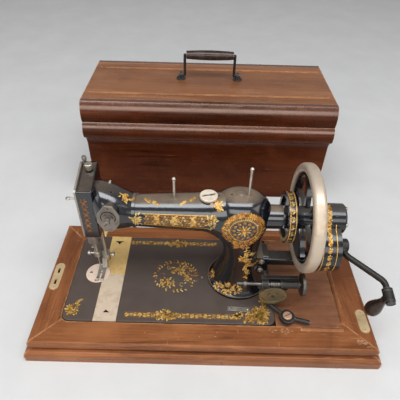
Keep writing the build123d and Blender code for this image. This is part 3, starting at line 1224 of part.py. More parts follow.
def gear_case():
    """Case body with the bracket that carries it from the pillar, under the wheel."""
    case = lobes(0, CASE_X0, CASE_SPLIT_X)
    z0 = BED_Z + BRACKET_RISE - BRACKET_H / 2
    y0, y1 = ARM_Y - BRACKET_W / 2, ARM_Y + BRACKET_W / 2
    bar = box(PAD_X, CASE_SPLIT_X - CASE_COVER_T, y0, y1, z0, z0 + BRACKET_H)
    bar = fillet(bar.edges().filter_by(Axis.X), BRACKET_H / 4)
    rise = polygon_x(((y0, z0 + BRACKET_H / 3), (y1, z0 + BRACKET_H / 3), (ARM_Y, CRANK_Z),
                      (CRANK_Y, CRANK_Z)),
                     CASE_X0, CASE_SPLIT_X - CASE_COVER_T)
    flange = box(PAD_X, PAD_X + FLANGE_T, ARM_Y - PAD_W / 2, ARM_Y + PAD_W / 2,
                 BED_Z + BRACKET_RISE - PAD_H / 2,
                 BED_Z + BRACKET_RISE + PAD_H / 2)
    flange = fillet(flange.edges().filter_by(Axis.X), BRACKET_H / 2)
    case += bar + rise + flange
    case -= lobes(CASE_WALL, CASE_X0 + CASE_WALL, CASE_SPLIT_X + 1)
    case += ring_x(CRANK_BOSS_R, CRANK_SHAFT_R + RUN_GAP, CASE_X0, GEAR_X - CRANK_GEAR_W / 2 - 1, CRANK_Y,
                   CRANK_Z)
    case -= cyl_x(CRANK_SHAFT_R + RUN_GAP, CASE_X0 + CASE_WALL / 2, CASE_SPLIT_X, CRANK_Y, CRANK_Z)
    return case - cyl_x(SHAFT_R + CASE_GAP, CASE_X0 - 1, CASE_SPLIT_X, ARM_Y, SHAFT_Z)


def gear_case_cover():
    cover = lobes(0, CASE_SPLIT_X, CASE_COVER_X)
    boss = cyl_x(PINION_LOBE_R, CASE_COVER_X - 1, CASE_COVER_X + LOBE_BOSS_L, ARM_Y, SHAFT_Z)
    cover += fillet(boss.edges().group_by(Axis.X)[-1], LOBE_BOSS_L / 3)
    cover += cyl_x(CRANK_BOSS_R, CASE_COVER_X - 1, CASE_COVER_X + CRANK_BOSS_L, CRANK_Y, CRANK_Z)
    cover -= cyl_x(SHAFT_R + RUN_GAP, CASE_SPLIT_X - 1, CASE_COVER_X + LOBE_BOSS_L / 2 + 1, ARM_Y, SHAFT_Z)
    return cover - cyl_x(CRANK_SHAFT_R + RUN_GAP, CASE_SPLIT_X - 1, CASE_COVER_X + CRANK_BOSS_L + 1,
                         CRANK_Y, CRANK_Z)


def crank_direction():
    """Unit vector from the crank's axis along its arm at rest."""
    drop = math.radians(CRANK_DROP)
    return Vector(0, -math.cos(drop), -math.sin(drop))


def crank_point(x, reach):
    return Vector(x, CRANK_Y, CRANK_Z) + crank_direction() * reach


def crank_shaft():
    return cyl_x(CRANK_SHAFT_R, CASE_X0 + CASE_WALL / 2 + RUN_GAP * 6, CRANK_HUB_X + CRANK_HUB_L, CRANK_Y,
                 CRANK_Z)


def crank_arm():
    """Hub, double-bent arm and the stud that the folding handle turns on."""
    end_x = CRANK_HUB_X + CRANK_OUT
    middle_x = CRANK_HUB_X + CRANK_HUB_L / 2
    stud_start = CRANK_R - KNUCKLE_L / 2
    points = [crank_point(middle_x, 0), crank_point(middle_x, CRANK_HUB_R + 4),
              crank_point(end_x, stud_start - 14), crank_point(end_x, stud_start)]
    path = FilletPolyline(*points, radius=CRANK_ROD_W * 1.6)
    start = Plane(origin=points[0], x_dir=(1, 0, 0), z_dir=crank_direction())
    rod = sweep(start * RectangleRounded(CRANK_ROD_T, CRANK_ROD_W, CRANK_ROD_T * 0.4), path=path)
    hub = cyl_x(CRANK_HUB_R, CRANK_HUB_X, CRANK_HUB_X + CRANK_HUB_L, CRANK_Y, CRANK_Z)
    hub = fillet(hub.edges().group_by(Axis.X)[-1], 2)
    end = Plane(origin=crank_point(end_x, 0), x_dir=(1, 0, 0), z_dir=crank_direction())
    stud = end * Pos(0, 0, CRANK_R) * Cylinder(KNUCKLE_STUD_R, KNUCKLE_L + 1)
    collar = end * Pos(0, 0, stud_start - 2) * Cylinder(KNUCKLE_R, 3.4)
    cap_at = CRANK_R + KNUCKLE_L / 2 + 0.3 + KNUCKLE_CAP_L / 2
    cap = end * Pos(0, 0, cap_at) * Cylinder(KNUCKLE_CAP_R, KNUCKLE_CAP_L)
    arm = rod + hub + stud + collar + cap
    return arm - cyl_x(CRANK_SHAFT_R + FIT_GAP, CRANK_HUB_X - 1, CRANK_HUB_X + CRANK_HUB_L + 1, CRANK_Y,
                       CRANK_Z)


def handle_plane():
    """Frame of the folded handle: x along the arm, z along the hanging spindle."""
    arm = crank_direction()
    hang = Vector(0, -arm.Z, arm.Y).rotate(Axis((0, 0, 0), tuple(arm)), -HANDLE_LEAN)
    return Plane(origin=crank_point(CRANK_HUB_X + CRANK_OUT, CRANK_R), x_dir=arm, z_dir=hang)


def handle_knuckle():
    """Eye on the arm's stud with the spindle that carries the grip."""
    plane = handle_plane()
    eye = plane * (Rot(0, 90, 0) * Cylinder(KNUCKLE_R, KNUCKLE_L - 0.4))
    end = GRIP_START + GRIP_L
    spindle = plane * Pos(0, 0, end / 2) * Cylinder(SPINDLE_R, end)
    rivet = plane * Pos(0, 0, end + 0.3 + RIVET_L / 2) * Cylinder(RIVET_R, RIVET_L)
    neck = plane * Pos(0, 0, end + 0.15) * Cylinder(SPINDLE_R, 0.6)
    bore = plane * (Rot(0, 90, 0) * Cylinder(KNUCKLE_STUD_R + RUN_GAP, KNUCKLE_L + 2))
    return eye + spindle + neck + rivet - bore


def handle_grip():
    """Pear-shaped turned grip on its spindle."""
    plane = handle_plane()
    start, end = GRIP_START, GRIP_START + GRIP_L
    side = Spline((GRIP_NECK_R, 0, start), (GRIP_NECK_R, 0, start + GRIP_L * 0.2),
                  (GRIP_R, 0, start + GRIP_L * 0.68), (GRIP_END_R, 0, end))
    bore = SPINDLE_R + RUN_GAP
    face = make_face([side, Line((GRIP_END_R, 0, end), (bore, 0, end)),
                      Line((bore, 0, end), (bore, 0, start)),
                      Line((bore, 0, start), (GRIP_NECK_R, 0, start))])
    return plane * revolve(face, axis=Axis.Z)


def winder_frame():
    """Swinging frame: pivot barrel, back plate, spindle bearings, gear stud and thumb lever."""
    first, last = winder_lug_xs()
    x0, x1 = first[1] + WINDER_SIDE_GAP, last[0] - WINDER_SIDE_GAP
    plate_y0 = WINDER_Y + max(WINDER_GEAR_T / 2, WORM_R) + 2 * WINDER_MESH_GAP
    plate_y1 = plate_y0 + WINDER_PLATE_T
    top = WINDER_Z + WINDER_BARREL_R
    right = WHEEL_X - FRICTION_W / 2 - 2.5
    left = WINDER_GEAR_X - WORM_L / 2 - 3 - WINDER_BARREL_L
    low = WINDER_PIVOT_Z - 2 * WINDER_PIVOT_R
    plate = polygon_y(((x0, low), (x1, low), (right, WINDER_Z - WINDER_BARREL_R), (right, top), (left, top),
                       (left, WINDER_GEAR_Z + WINDER_GEAR_R * 0.7), (x0, WINDER_GEAR_Z)), plate_y0, plate_y1)
    frame = plate + box(x0, x1, plate_y0, WINDER_PIVOT_Y, low, WINDER_PIVOT_Z + 2 * WINDER_PIVOT_R)
    frame += cyl_x(2 * WINDER_PIVOT_R, x0, x1, WINDER_PIVOT_Y, WINDER_PIVOT_Z)
    worm_x1 = WINDER_GEAR_X + WORM_L / 2 + WINDER_SIDE_GAP
    for bx0, bx1 in ((left, left + WINDER_BARREL_L), (worm_x1 + 1, right)):
        frame += cyl_x(WINDER_BARREL_R, bx0, bx1, WINDER_Y, WINDER_Z)
        frame += box(bx0, bx1, WINDER_Y, plate_y1, WINDER_Z - WINDER_BARREL_R / 2,
                     WINDER_Z + WINDER_BARREL_R / 2)
    frame += cyl_y(WINDER_PIVOT_R, WINDER_Y - WINDER_GEAR_T / 2 - 1, plate_y1, WINDER_GEAR_X, WINDER_GEAR_Z)
    frame -= cyl_x(WINDER_SPINDLE_R + RUN_GAP, left - 1, right + 1, WINDER_Y, WINDER_Z)
    frame -= cyl_x(WINDER_PIVOT_R + RUN_GAP, x0 - 1, x1 + 1, WINDER_PIVOT_Y, WINDER_PIVOT_Z)
    lever_z = WINDER_GEAR_Z - WINDER_GEAR_R - 2 * LEVER_R
    eye_x, eye_y, eye_z = BED_X1 + 16, BED_Y0 + 9, lever_z + 1
    points = [(x0 + 4, plate_y1 - 3, low + LEVER_R), (x0 + 5, plate_y0, lever_z),
              (x1 + 6, WINDER_Y - 6, lever_z),
              (eye_x, eye_y, eye_z), (eye_x + 16, eye_y - 3, eye_z - 1.5),
              (eye_x + 32, eye_y - 8, eye_z - 0.5)]
    lever = sweep(Plane(origin=points[0], z_dir=Vector(*points[1]) - Vector(*points[0])) * Circle(LEVER_R),
                  path=FilletPolyline(*points, radius=LEVER_R * 2))
    eye = cyl_z(LEVER_EYE_R, eye_z - LEVER_R, eye_z + LEVER_R, eye_x, eye_y)
    return frame + lever + fillet(upper(eye), 1)


def winder_spindle():
    """Spindle with its grooved worm, bobbin cup and friction wheel."""
    x1 = WHEEL_X + FRICTION_W / 2
    spindle = cyl_x(WINDER_SPINDLE_R, WINDER_SPINDLE_X0, x1 + 1, WINDER_Y, WINDER_Z)
    worm_x0 = WINDER_GEAR_X - WORM_L / 2
    worm = cyl_x(WORM_R, worm_x0, worm_x0 + WORM_L, WINDER_Y, WINDER_Z)
    pitch = 2 * math.pi * WINDER_GEAR_R / WINDER_GEAR_TEETH
    for i in range(int(WORM_L / pitch)):
        at = worm_x0 + (i + 0.5) * pitch
        worm -= ring_x(WORM_R + 1, WORM_R - WINDER_TOOTH, at, at + pitch / 2, WINDER_Y, WINDER_Z)
    cup = cyl_x(BOBBIN_CUP_R, BOBBIN_CUP_X, BOBBIN_CUP_X + 4, WINDER_Y, WINDER_Z)
    friction = cyl_x(FRICTION_R, x1 - FRICTION_W, x1, WINDER_Y, WINDER_Z)
    friction = fillet(friction.edges(), FRICTION_W / 4)
    return spindle + worm + cup + friction


def winder_gear():
    """Worm wheel under the spindle, with its tooth ring and hub."""
    y0, y1 = WINDER_Y - WINDER_GEAR_T / 2, WINDER_Y + WINDER_GEAR_T / 2
    points = []
    for i in range(WINDER_GEAR_TEETH):
        for share, r in ((0.0, WINDER_GEAR_R - WINDER_TOOTH), (0.25, WINDER_GEAR_R), (0.5, WINDER_GEAR_R),
                         (0.75, WINDER_GEAR_R - WINDER_TOOTH)):
            angle = 2 * math.pi * (i + share) / WINDER_GEAR_TEETH
            points.append((WINDER_GEAR_X + r * math.cos(angle), WINDER_GEAR_Z + r * math.sin(angle)))
    wheel = polygon_y(points, y0, y1)
    dish = (cyl_y(WINDER_GEAR_R * 0.8, y0 - 1, y0 + WINDER_GEAR_T / 3, WINDER_GEAR_X, WINDER_GEAR_Z) -
            cyl_y(WINDER_GEAR_R * 0.35, y0 - 2, y0 + WINDER_GEAR_T, WINDER_GEAR_X, WINDER_GEAR_Z))
    wheel -= dish
    return wheel - cyl_y(WINDER_PIVOT_R + RUN_GAP, y0 - 1, y1 + 1, WINDER_GEAR_X, WINDER_GEAR_Z)


def rocker_lever():
    """Upright lever: fork round the eccentric, boss on its pin, tail under the bed."""
    x0, x1 = PILLAR_X - ROCKER_T / 2, PILLAR_X + ROCKER_T / 2
    outer = ROCKER_FORK_GAP + ROCKER_FORK_T
    crotch = SHAFT_Z - ROCKER_FORK_GAP
    lever = box(x0, x1, ARM_Y - outer, ARM_Y + outer, crotch - 2 * ROCKER_FORK_T, ROCKER_TIPS)
    lever -= box(x0 - 1, x1 + 1, ARM_Y - ROCKER_FORK_GAP, ARM_Y + ROCKER_FORK_GAP, crotch, ROCKER_TIPS + 1)
    lever += box(x0, x1, ARM_Y - ROCKER_T / 2, ARM_Y + ROCKER_T / 2, ROCKER_Z, crotch - ROCKER_FORK_T)
    lever += cyl_x(ROCKER_PIN_R * 2, x0, x1, ARM_Y, ROCKER_Z)
    tail_z = BED_Z - SHUTTLE_LEVER_DROP - SHUTTLE_LEVER_T / 2 - 1
    lever += cyl_z(SHUTTLE_STUD_R, tail_z, ROCKER_Z - ROCKER_PIN_R - 1, PILLAR_X, ARM_Y)
    return lever - cyl_x(ROCKER_PIN_R + RUN_GAP, x0 - 1, x1 + 1, ARM_Y, ROCKER_Z)


def shuttle_lever():
    """Flat lever under the bed with an open fork at each end."""
    z = BED_Z - SHUTTLE_LEVER_DROP
    z0, z1 = z - SHUTTLE_LEVER_T / 2, z + SHUTTLE_LEVER_T / 2
    half = SHUTTLE_LEVER_W / 2
    left, right = RACE_X - 2 * SHUTTLE_PEG_R, PILLAR_X + 2 * SHUTTLE_STUD_R
    lever = box(left, right, ARM_Y - half, ARM_Y + half, z0, z1)
    lever += cyl_z(3 * SHUTTLE_STUD_R, z0, z1, SHUTTLE_PIVOT_X, ARM_Y)
    for peg_x, peg_r, out in ((RACE_X, SHUTTLE_PEG_R, -1), (PILLAR_X, SHUTTLE_STUD_R, 1)):
        slot = peg_r + SHUTTLE_FORK
        ends = sorted((peg_x - out * (slot + 1.5), peg_x + out * 20))
        lever -= box(ends[0], ends[1], ARM_Y - slot, ARM_Y + slot, z0 - 1, z1 + 1)
    return lever - cyl_z(SHUTTLE_STUD_R + RUN_GAP, z0 - 1, z1 + 1, SHUTTLE_PIVOT_X, ARM_Y)


def shuttle_race():
    """Trough under the bed's slot with a slit for the carrier's peg."""
    z0 = BED_Z - RACE_DROP
    half = RACE_W / 2 + RACE_WALL
    race = box(RACE_X - half, RACE_X + half, RACE_Y0, RACE_Y1, z0, BED_UNDER)
    race -= box(RACE_X - RACE_W / 2, RACE_X + RACE_W / 2, RACE_Y0 - 1, RACE_Y1 + 1, z0 + RACE_WALL,
                BED_UNDER + 1)
    slit = SHUTTLE_PEG_R + 2 * SHUTTLE_FORK
    return race - box(RACE_X - slit, RACE_X + slit, RACE_Y0 + 2 * RACE_WALL, RACE_Y1 - 2 * RACE_WALL, z0 - 1,
                      z0 + RACE_WALL + 1)


def shuttle_carrier():
    z0 = BED_Z - RACE_DROP + RACE_WALL + FEED_GAP
    half = RACE_W / 2 - FEED_GAP
    carrier = box(RACE_X - half, RACE_X + half, ARM_Y - CARRIER_L / 2, ARM_Y + CARRIER_L / 2, z0,
                  z0 + CARRIER_H)
    peg_z = BED_Z - SHUTTLE_LEVER_DROP - SHUTTLE_LEVER_T / 2 - 1
    return carrier + cyl_z(SHUTTLE_PEG_R, peg_z, z0 + 1, RACE_X, ARM_Y)


def shuttle():
    """Boat shuttle, pointed at the front, lying in its carrier."""
    z0 = BED_Z - RACE_DROP + RACE_WALL + FEED_GAP + CARRIER_H
    half = RACE_W / 2 - 3 * FEED_GAP
    y0, y1 = ARM_Y - SHUTTLE_L / 2, ARM_Y + SHUTTLE_L / 2
    boat = polygon_z(((RACE_X - half, y1), (RACE_X + half, y1), (RACE_X + half, ARM_Y),
                      (RACE_X + half / 3, y0),
                      (RACE_X - half / 3, y0), (RACE_X - half, ARM_Y)), z0, z0 + SHUTTLE_H)
    well = box(RACE_X - half / 2, RACE_X + half / 2, ARM_Y - SHUTTLE_L / 4, y1 - 4, z0 + 1.5,
               z0 + SHUTTLE_H + 1)
    return boat - well


def cover_profile(side):
    """Moulded wall of the cover: plain below, a cove and two rolls above; side -1 is the front."""
    outer = COVER_D / 2
    tall = COVER_H - COVER_OGEE_Z

    def at(out, share):
        return (COVER_X, COVER_Y + side * (outer + out * COVER_BULGE), COVER_OGEE_Z + share * tall)

    foot = (COVER_X, COVER_Y + side * outer, 0)
    inner_foot = (COVER_X, COVER_Y + side * (outer - COVER_WALL), 0)
    inner_top = (COVER_X, COVER_Y + side * (outer - COVER_WALL), COVER_H)
    cove = ThreePointArc(at(0, 0), at(0.25, 0.16), at(0.85, 0.25))
    lower_roll = ThreePointArc(at(0.85, 0.25), at(1.0, 0.39), at(0.53, 0.575))
    upper_roll = ThreePointArc(at(0.53, 0.575), at(0.6, 0.82), at(0.05, 1))
    return make_face([Line(foot, at(0, 0)), cove, lower_roll, upper_roll, Line(at(0.05, 1), inner_top),
                      Line(inner_top, inner_foot), Line(inner_foot, foot)])


def cover_sides():
    return [extrude(cover_profile(side), amount=COVER_L / 2, dir=(1, 0, 0), both=True) for side in (-1, 1)]


def cover_ends():
    half = COVER_D / 2 - COVER_WALL
    ends = []
    for side in (-1, 1):
        x0, x1 = sorted((COVER_X + side * COVER_L / 2, COVER_X + side * (COVER_L / 2 - COVER_END_T)))
        ends.append(box(x0, x1, COVER_Y - half, COVER_Y + half, 0, COVER_H - COVER_TOP_T))
    return ends


def cover_top():
    """Top board between the moulded walls, with a bead near its front and back."""
    half = COVER_D / 2 - COVER_WALL
    top = box(COVER_X - COVER_L / 2, COVER_X + COVER_L / 2, COVER_Y - half, COVER_Y + half,
              COVER_H - COVER_TOP_T, COVER_H)
    for side in (-1, 1):
        y = COVER_Y + side * (COVER_D / 2 - COVER_BEAD_IN)
        reach = COVER_L / 2 - COVER_END_T
        top += cyl_x(COVER_BEAD_R, COVER_X - reach, COVER_X + reach, y, COVER_H)
    return top


def handle_posts():
    """Round plates on the cover's top with the eyes that hold the bail."""
    posts = []
    for side in (-1, 1):
        x = COVER_X + side * HANDLE_SPAN / 2
        post = cyl_z(HANDLE_PLATE_R, COVER_H, COVER_H + HANDLE_PLATE_T, x, HANDLE_Y)
        post += box(x - HANDLE_EYE_T / 2, x + HANDLE_EYE_T / 2, HANDLE_Y - HANDLE_EYE_R,
                    HANDLE_Y + HANDLE_EYE_R,
                    COVER_H + HANDLE_PLATE_T / 2, COVER_H + HANDLE_PLATE_T + HANDLE_EYE_R)
        post += cyl_x(HANDLE_EYE_R, x - HANDLE_EYE_T / 2, x + HANDLE_EYE_T / 2, HANDLE_Y,
                      COVER_H + HANDLE_PLATE_T + HANDLE_EYE_R)
        post -= cyl_x(HANDLE_WIRE_R + RUN_GAP, x - HANDLE_EYE_T, x + HANDLE_EYE_T, HANDLE_Y,
                      COVER_H + HANDLE_PLATE_T + HANDLE_EYE_R)
        posts.append(post)
    return posts


def handle_bail():
    """Bent iron bail standing up from the eyes."""
    z0 = COVER_H + HANDLE_PLATE_T + HANDLE_EYE_R
    z1 = COVER_H + HANDLE_RISE
    arm_x = HANDLE_SPAN / 2 - HANDLE_EYE_T - HANDLE_WIRE_R
    bail = cyl_x(HANDLE_WIRE_R, COVER_X - arm_x, COVER_X + arm_x, HANDLE_Y, z1)
    for side in (-1, 1):
        end_x = HANDLE_SPAN / 2 + HANDLE_EYE_T / 2 + HANDLE_WIRE_R
        x0, x1 = sorted((COVER_X + side * arm_x, COVER_X + side * end_x))
        bail += cyl_x(HANDLE_WIRE_R, x0, x1, HANDLE_Y, z0)
        bail += cyl_z(HANDLE_WIRE_R, z0, z1, COVER_X + side * arm_x, HANDLE_Y)
        for z in (z0, z1):
            bail += Pos(COVER_X + side * arm_x, HANDLE_Y, z) * Sphere(HANDLE_WIRE_R)
    return bail


def cover_grip():
    """Turned wooden grip on the bail."""
    z = COVER_H + HANDLE_RISE
    half = HANDLE_SPAN / 2 - HANDLE_EYE_T - 2 * HANDLE_WIRE_R - 0.5
    bore = HANDLE_WIRE_R + RUN_GAP
    side = Spline((-half, HANDLE_GRIP_R * 0.8), (-half * 0.5, HANDLE_GRIP_R * 0.95), (0, HANDLE_GRIP_R),
                  (half * 0.5, HANDLE_GRIP_R * 0.95), (half, HANDLE_GRIP_R * 0.8))
    face = make_face([side, Line((half, HANDLE_GRIP_R * 0.8), (half, bore)),
                      Line((half, bore), (-half, bore)),
                      Line((-half, bore), (-half, HANDLE_GRIP_R * 0.8))])
    return Pos(COVER_X, HANDLE_Y, z) * revolve(face, axis=Axis.X)


os.makedirs("parts", exist_ok=True)

for rail_side, rail in base_rails().items():
    save("base_rail_" + rail_side, rail)
save("base_bottom_board", bottom_board())
save("deck_panel", deck_panel())
save("strike_plates", *strike_plates())
save("hinge_leaves", *[hinge_leaf(x) for x in HINGE_XS])
save("bed_plate", bed_plate())
save("arm_casting", arm_casting())
save("face_plate", face_plate())
save("head_end_cap", head_end_cap())
save("needle_plate", needle_plate())
save("spool_pins", *spool_pins())
save("oil_cap_screw", oil_cap())
save("tension_plate", tension_plate())
save("tension_discs", tension_discs())
save("tension_spring", tension_spring())
save("shaft_bushes", *shaft_bushes())
save("hinge_studs", *[hinge_stud(x) for x in HINGE_XS])
save("gear_case", gear_case())
save("gear_case_cover", gear_case_cover())
save("shuttle_race", shuttle_race())
save("presser_spring", presser_spring())
save("main_shaft", main_shaft())
save("needle_crank", needle_crank())
save("hand_wheel", hand_wheel())
save("wheel_rim", wheel_rim())
save("belt_pulley", belt_pulley())
save("pinion", pinion())
save("crank_shaft", crank_shaft())
save("crank_gear", crank_gear())
save("crank_arm", crank_arm())
save("handle_knuckle", handle_knuckle())
save("handle_grip", handle_grip())
save("needle_bar", needle_bar())
save("needle_clamp", needle_clamp())
save("needle", needle())
save("presser_bar", presser_bar())
save("presser_foot", presser_foot())
save("presser_lifter", presser_lifter())
save("pressure_screw", pressure_screw())
save("take_up_lever", take_up_lever())
save("tension_nut", tension_nut())
save("slide_plate_front", slide_plate(BED_Y0, SLIDE_SPLIT_Y - SLIDE_GAP / 2, BED_Y0 + NOTCH_IN, 1))
save("slide_plate_rear", slide_plate(SLIDE_SPLIT_Y + SLIDE_GAP / 2, BED_Y1, BED_Y1 - NOTCH_IN, -1))
save("rocker_lever", rocker_lever())
save("shuttle_lever", shuttle_lever())
save("shuttle_carrier", shuttle_carrier())
save("shuttle", shuttle())
save("feed_dog", feed_dog())
save("winder_frame", winder_frame())
save("winder_spindle", winder_spindle())
save("winder_gear", winder_gear())
save("cover_sides", *cover_sides())
save("cover_ends", *cover_ends())
save("cover_top", cover_top())
save("cover_handle_posts", *handle_posts())
save("cover_handle_bail", handle_bail())
save("cover_handle_grip", cover_grip())
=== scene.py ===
"""Looks for the hand-crank sewing machine: materials, gold ornament, fittings, floor, light and camera."""
import math
import random

import bpy
from mathutils import Matrix, Vector
from mathutils.bvhtree import BVHTree

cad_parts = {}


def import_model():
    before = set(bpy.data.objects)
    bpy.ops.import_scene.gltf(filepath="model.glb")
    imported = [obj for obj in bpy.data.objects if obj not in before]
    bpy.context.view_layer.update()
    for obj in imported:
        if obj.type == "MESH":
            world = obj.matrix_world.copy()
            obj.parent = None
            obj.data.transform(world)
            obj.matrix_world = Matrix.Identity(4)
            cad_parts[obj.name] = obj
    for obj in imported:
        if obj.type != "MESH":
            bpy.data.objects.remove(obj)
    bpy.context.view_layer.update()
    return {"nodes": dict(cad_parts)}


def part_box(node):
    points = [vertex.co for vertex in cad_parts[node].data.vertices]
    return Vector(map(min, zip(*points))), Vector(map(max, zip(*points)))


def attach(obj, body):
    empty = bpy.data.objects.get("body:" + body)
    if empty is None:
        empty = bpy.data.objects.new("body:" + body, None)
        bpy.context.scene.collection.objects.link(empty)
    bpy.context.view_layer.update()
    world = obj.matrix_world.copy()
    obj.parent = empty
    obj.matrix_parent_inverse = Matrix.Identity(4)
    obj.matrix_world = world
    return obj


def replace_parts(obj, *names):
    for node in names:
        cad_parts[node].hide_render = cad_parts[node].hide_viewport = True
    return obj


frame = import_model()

NODES = frame["nodes"]
MM = 0.001


# Shader helpers

class Shader:
    """A Principled material and the few kinds of node that this scene feeds it with."""

    def __init__(self, name, **sockets):
        self.mat = bpy.data.materials.new(name)
        self.mat.use_nodes = True
        self.tree = self.mat.node_tree
        self.bsdf = next(n for n in self.tree.nodes if n.type == "BSDF_PRINCIPLED")
        for key, value in sockets.items():
            self.bsdf.inputs[key.replace("_", " ")].default_value = value

    def add(self, kind, **values):
        node = self.tree.nodes.new("ShaderNode" + kind)
        for key, value in values.items():
            if key.startswith("_"):
                setattr(node, key[1:], value)
            else:
                self.feed(node.inputs[key.replace("__", " ")], value)
        return node

    def feed(self, socket, value):
        if isinstance(value, bpy.types.NodeSocket):
            self.tree.links.new(value, socket)
        else:
            socket.default_value = value

    def set(self, socket, value):
        self.feed(self.bsdf.inputs[socket], value)

    def place(self, scale=(1, 1, 1), turn=(0, 0, 0)):
        where = self.add("TexCoord").outputs["Object"]
        return self.add("Mapping", Vector=where, Scale=scale, Rotation=turn).outputs[0]

    def normal_z(self):
        split = self.add("SeparateXYZ", Vector=self.add("TexCoord").outputs["Normal"])
        return split.outputs[2]

    def noise(self, vector, scale, detail, rough, twist=0.0):
        node = self.add("TexNoise", Vector=vector, Scale=scale, Detail=detail, Roughness=rough,
                        Distortion=twist)
        return node.outputs[0]

    def ramp(self, value, *stops):
        node = self.add("ValToRGB", Fac=value)
        band = node.color_ramp
        while len(band.elements) < len(stops):
            band.elements.new(0.5)
        for element, (at, colour) in zip(band.elements, stops):
            element.position = at
            element.color = (*colour, 1)
        return node.outputs[0]

    def span(self, value, low, high, to_low=0.0, to_high=1.0):
        node = self.add("MapRange", Value=value)
        for index, number in zip((1, 2, 3, 4), (low, high, to_low, to_high)):
            node.inputs[index].default_value = number
        return node.outputs[0]

    def mix(self, share, first, second):
        node = self.add("Mix", _data_type="RGBA")
        self.feed(node.inputs[0], share)
        for index, colour in ((6, first), (7, second)):
            self.feed(node.inputs[index], (*colour, 1) if isinstance(colour, tuple) else colour)
        return node.outputs[2]

    def calc(self, how, first, second):
        node = self.add("Math", _operation=how)
        self.feed(node.inputs[0], first)
        self.feed(node.inputs[1], second)
        return node.outputs[0]

    def edges(self, radius):
        """Near 1 along edges, 0 on open faces."""
        soft = self.add("Bevel", _samples=4, Radius=radius).outputs[0]
        plain = self.add("NewGeometry").outputs["Normal"]
        dot = self.add("VectorMath", _operation="DOT_PRODUCT")
        self.feed(dot.inputs[0], soft)
        self.feed(dot.inputs[1], plain)
        return self.span(dot.outputs["Value"], 0.99, 0.86)

    def bump(self, height, strength, depth):
        node = self.add("Bump", Height=height, Strength=strength, Distance=depth)
        self.set("Normal", node.outputs[0])


def wood(name, grain, dark, mid, light, worn, wear=0.7, rough=0.3, shine=0.5, polish=0.0):
    """Old shellacked wood with its grain along axis 0, 1 or 2, stains, scratches and worn edges."""
    s = Shader(name, Specular_IOR_Level=shine, Specular_Tint=(1.0, 0.62, 0.44, 1.0))
    if polish:  # more shine where the wood faces up
        s.set("Specular IOR Level", s.span(s.normal_z(), 0.1, 0.5, shine, polish))
        s.set("Coat Weight", s.span(s.normal_z(), 0.1, 0.5, 0.0, 0.8 * polish))
        s.set("Coat Roughness", 0.16)
    along = [46.0, 46.0, 46.0]
    along[grain] = 3.6
    fibre = [520.0, 520.0, 520.0]
    fibre[grain] = 16.0
    figure = s.noise(s.place(tuple(along)), 1.0, 8.0, 0.62, 1.6)
    fibres = s.noise(s.place(tuple(fibre)), 1.0, 3.0, 0.6)
    stain = s.noise(s.place(), 9.0, 5.0, 0.6, 0.5)
    colour = s.ramp(figure, (0.3, dark), (0.45, mid), (0.57, mid), (0.74, light))
    colour = s.mix(s.span(fibres, 0.46, 0.66, 0.0, 0.42), colour, dark)
    colour = s.mix(s.span(stain, 0.45, 0.26, 0.0, 0.6), colour, light)
    colour = s.mix(s.span(stain, 0.54, 0.72, 0.0, 0.6), colour, dark)
    broad = [9.0, 9.0, 9.0]
    broad[grain] = 2.2
    zone = s.noise(s.place(tuple(broad)), 1.0, 3.0, 0.5, 0.8)
    colour = s.mix(s.span(zone, 0.52, 0.68, 0.0, 0.7), colour, dark)
    colour = s.mix(s.span(zone, 0.46, 0.32, 0.0, 0.6), colour, light)
    scratch = s.noise(s.place((30.0, 700.0, 700.0), (0.0, 0.0, 0.5)), 1.0, 2.0, 0.5)
    scratch2 = s.noise(s.place((650.0, 40.0, 650.0), (0.0, 0.0, 0.35)), 1.0, 2.0, 0.5)
    marks = s.calc("MAXIMUM", s.span(scratch, 0.69, 0.75), s.span(scratch2, 0.71, 0.77))
    marks = s.calc("MULTIPLY", marks, s.span(stain, 0.4, 0.6))
    rubbed = s.calc("MULTIPLY", s.edges(0.003), s.span(s.noise(s.place(), 55.0, 6.0, 0.7), 0.36, 0.58))
    rubbed = s.calc("MULTIPLY", rubbed, wear)
    colour = s.mix(s.calc("MULTIPLY", marks, 0.5), colour, worn)
    colour = s.mix(rubbed, colour, worn)
    s.set("Base Color", colour)
    gloss = s.span(s.noise(s.place(), 26.0, 4.0, 0.6), 0.3, 0.7, rough - 0.06, rough + 0.12)
    s.set("Roughness", s.calc("ADD", gloss, s.calc("MULTIPLY", rubbed, 0.2)))
    s.bump(s.calc("ADD", s.calc("MULTIPLY", fibres, 0.6), s.calc("MULTIPLY", marks, -0.5)), 0.2, 0.0003)
    return s.mat


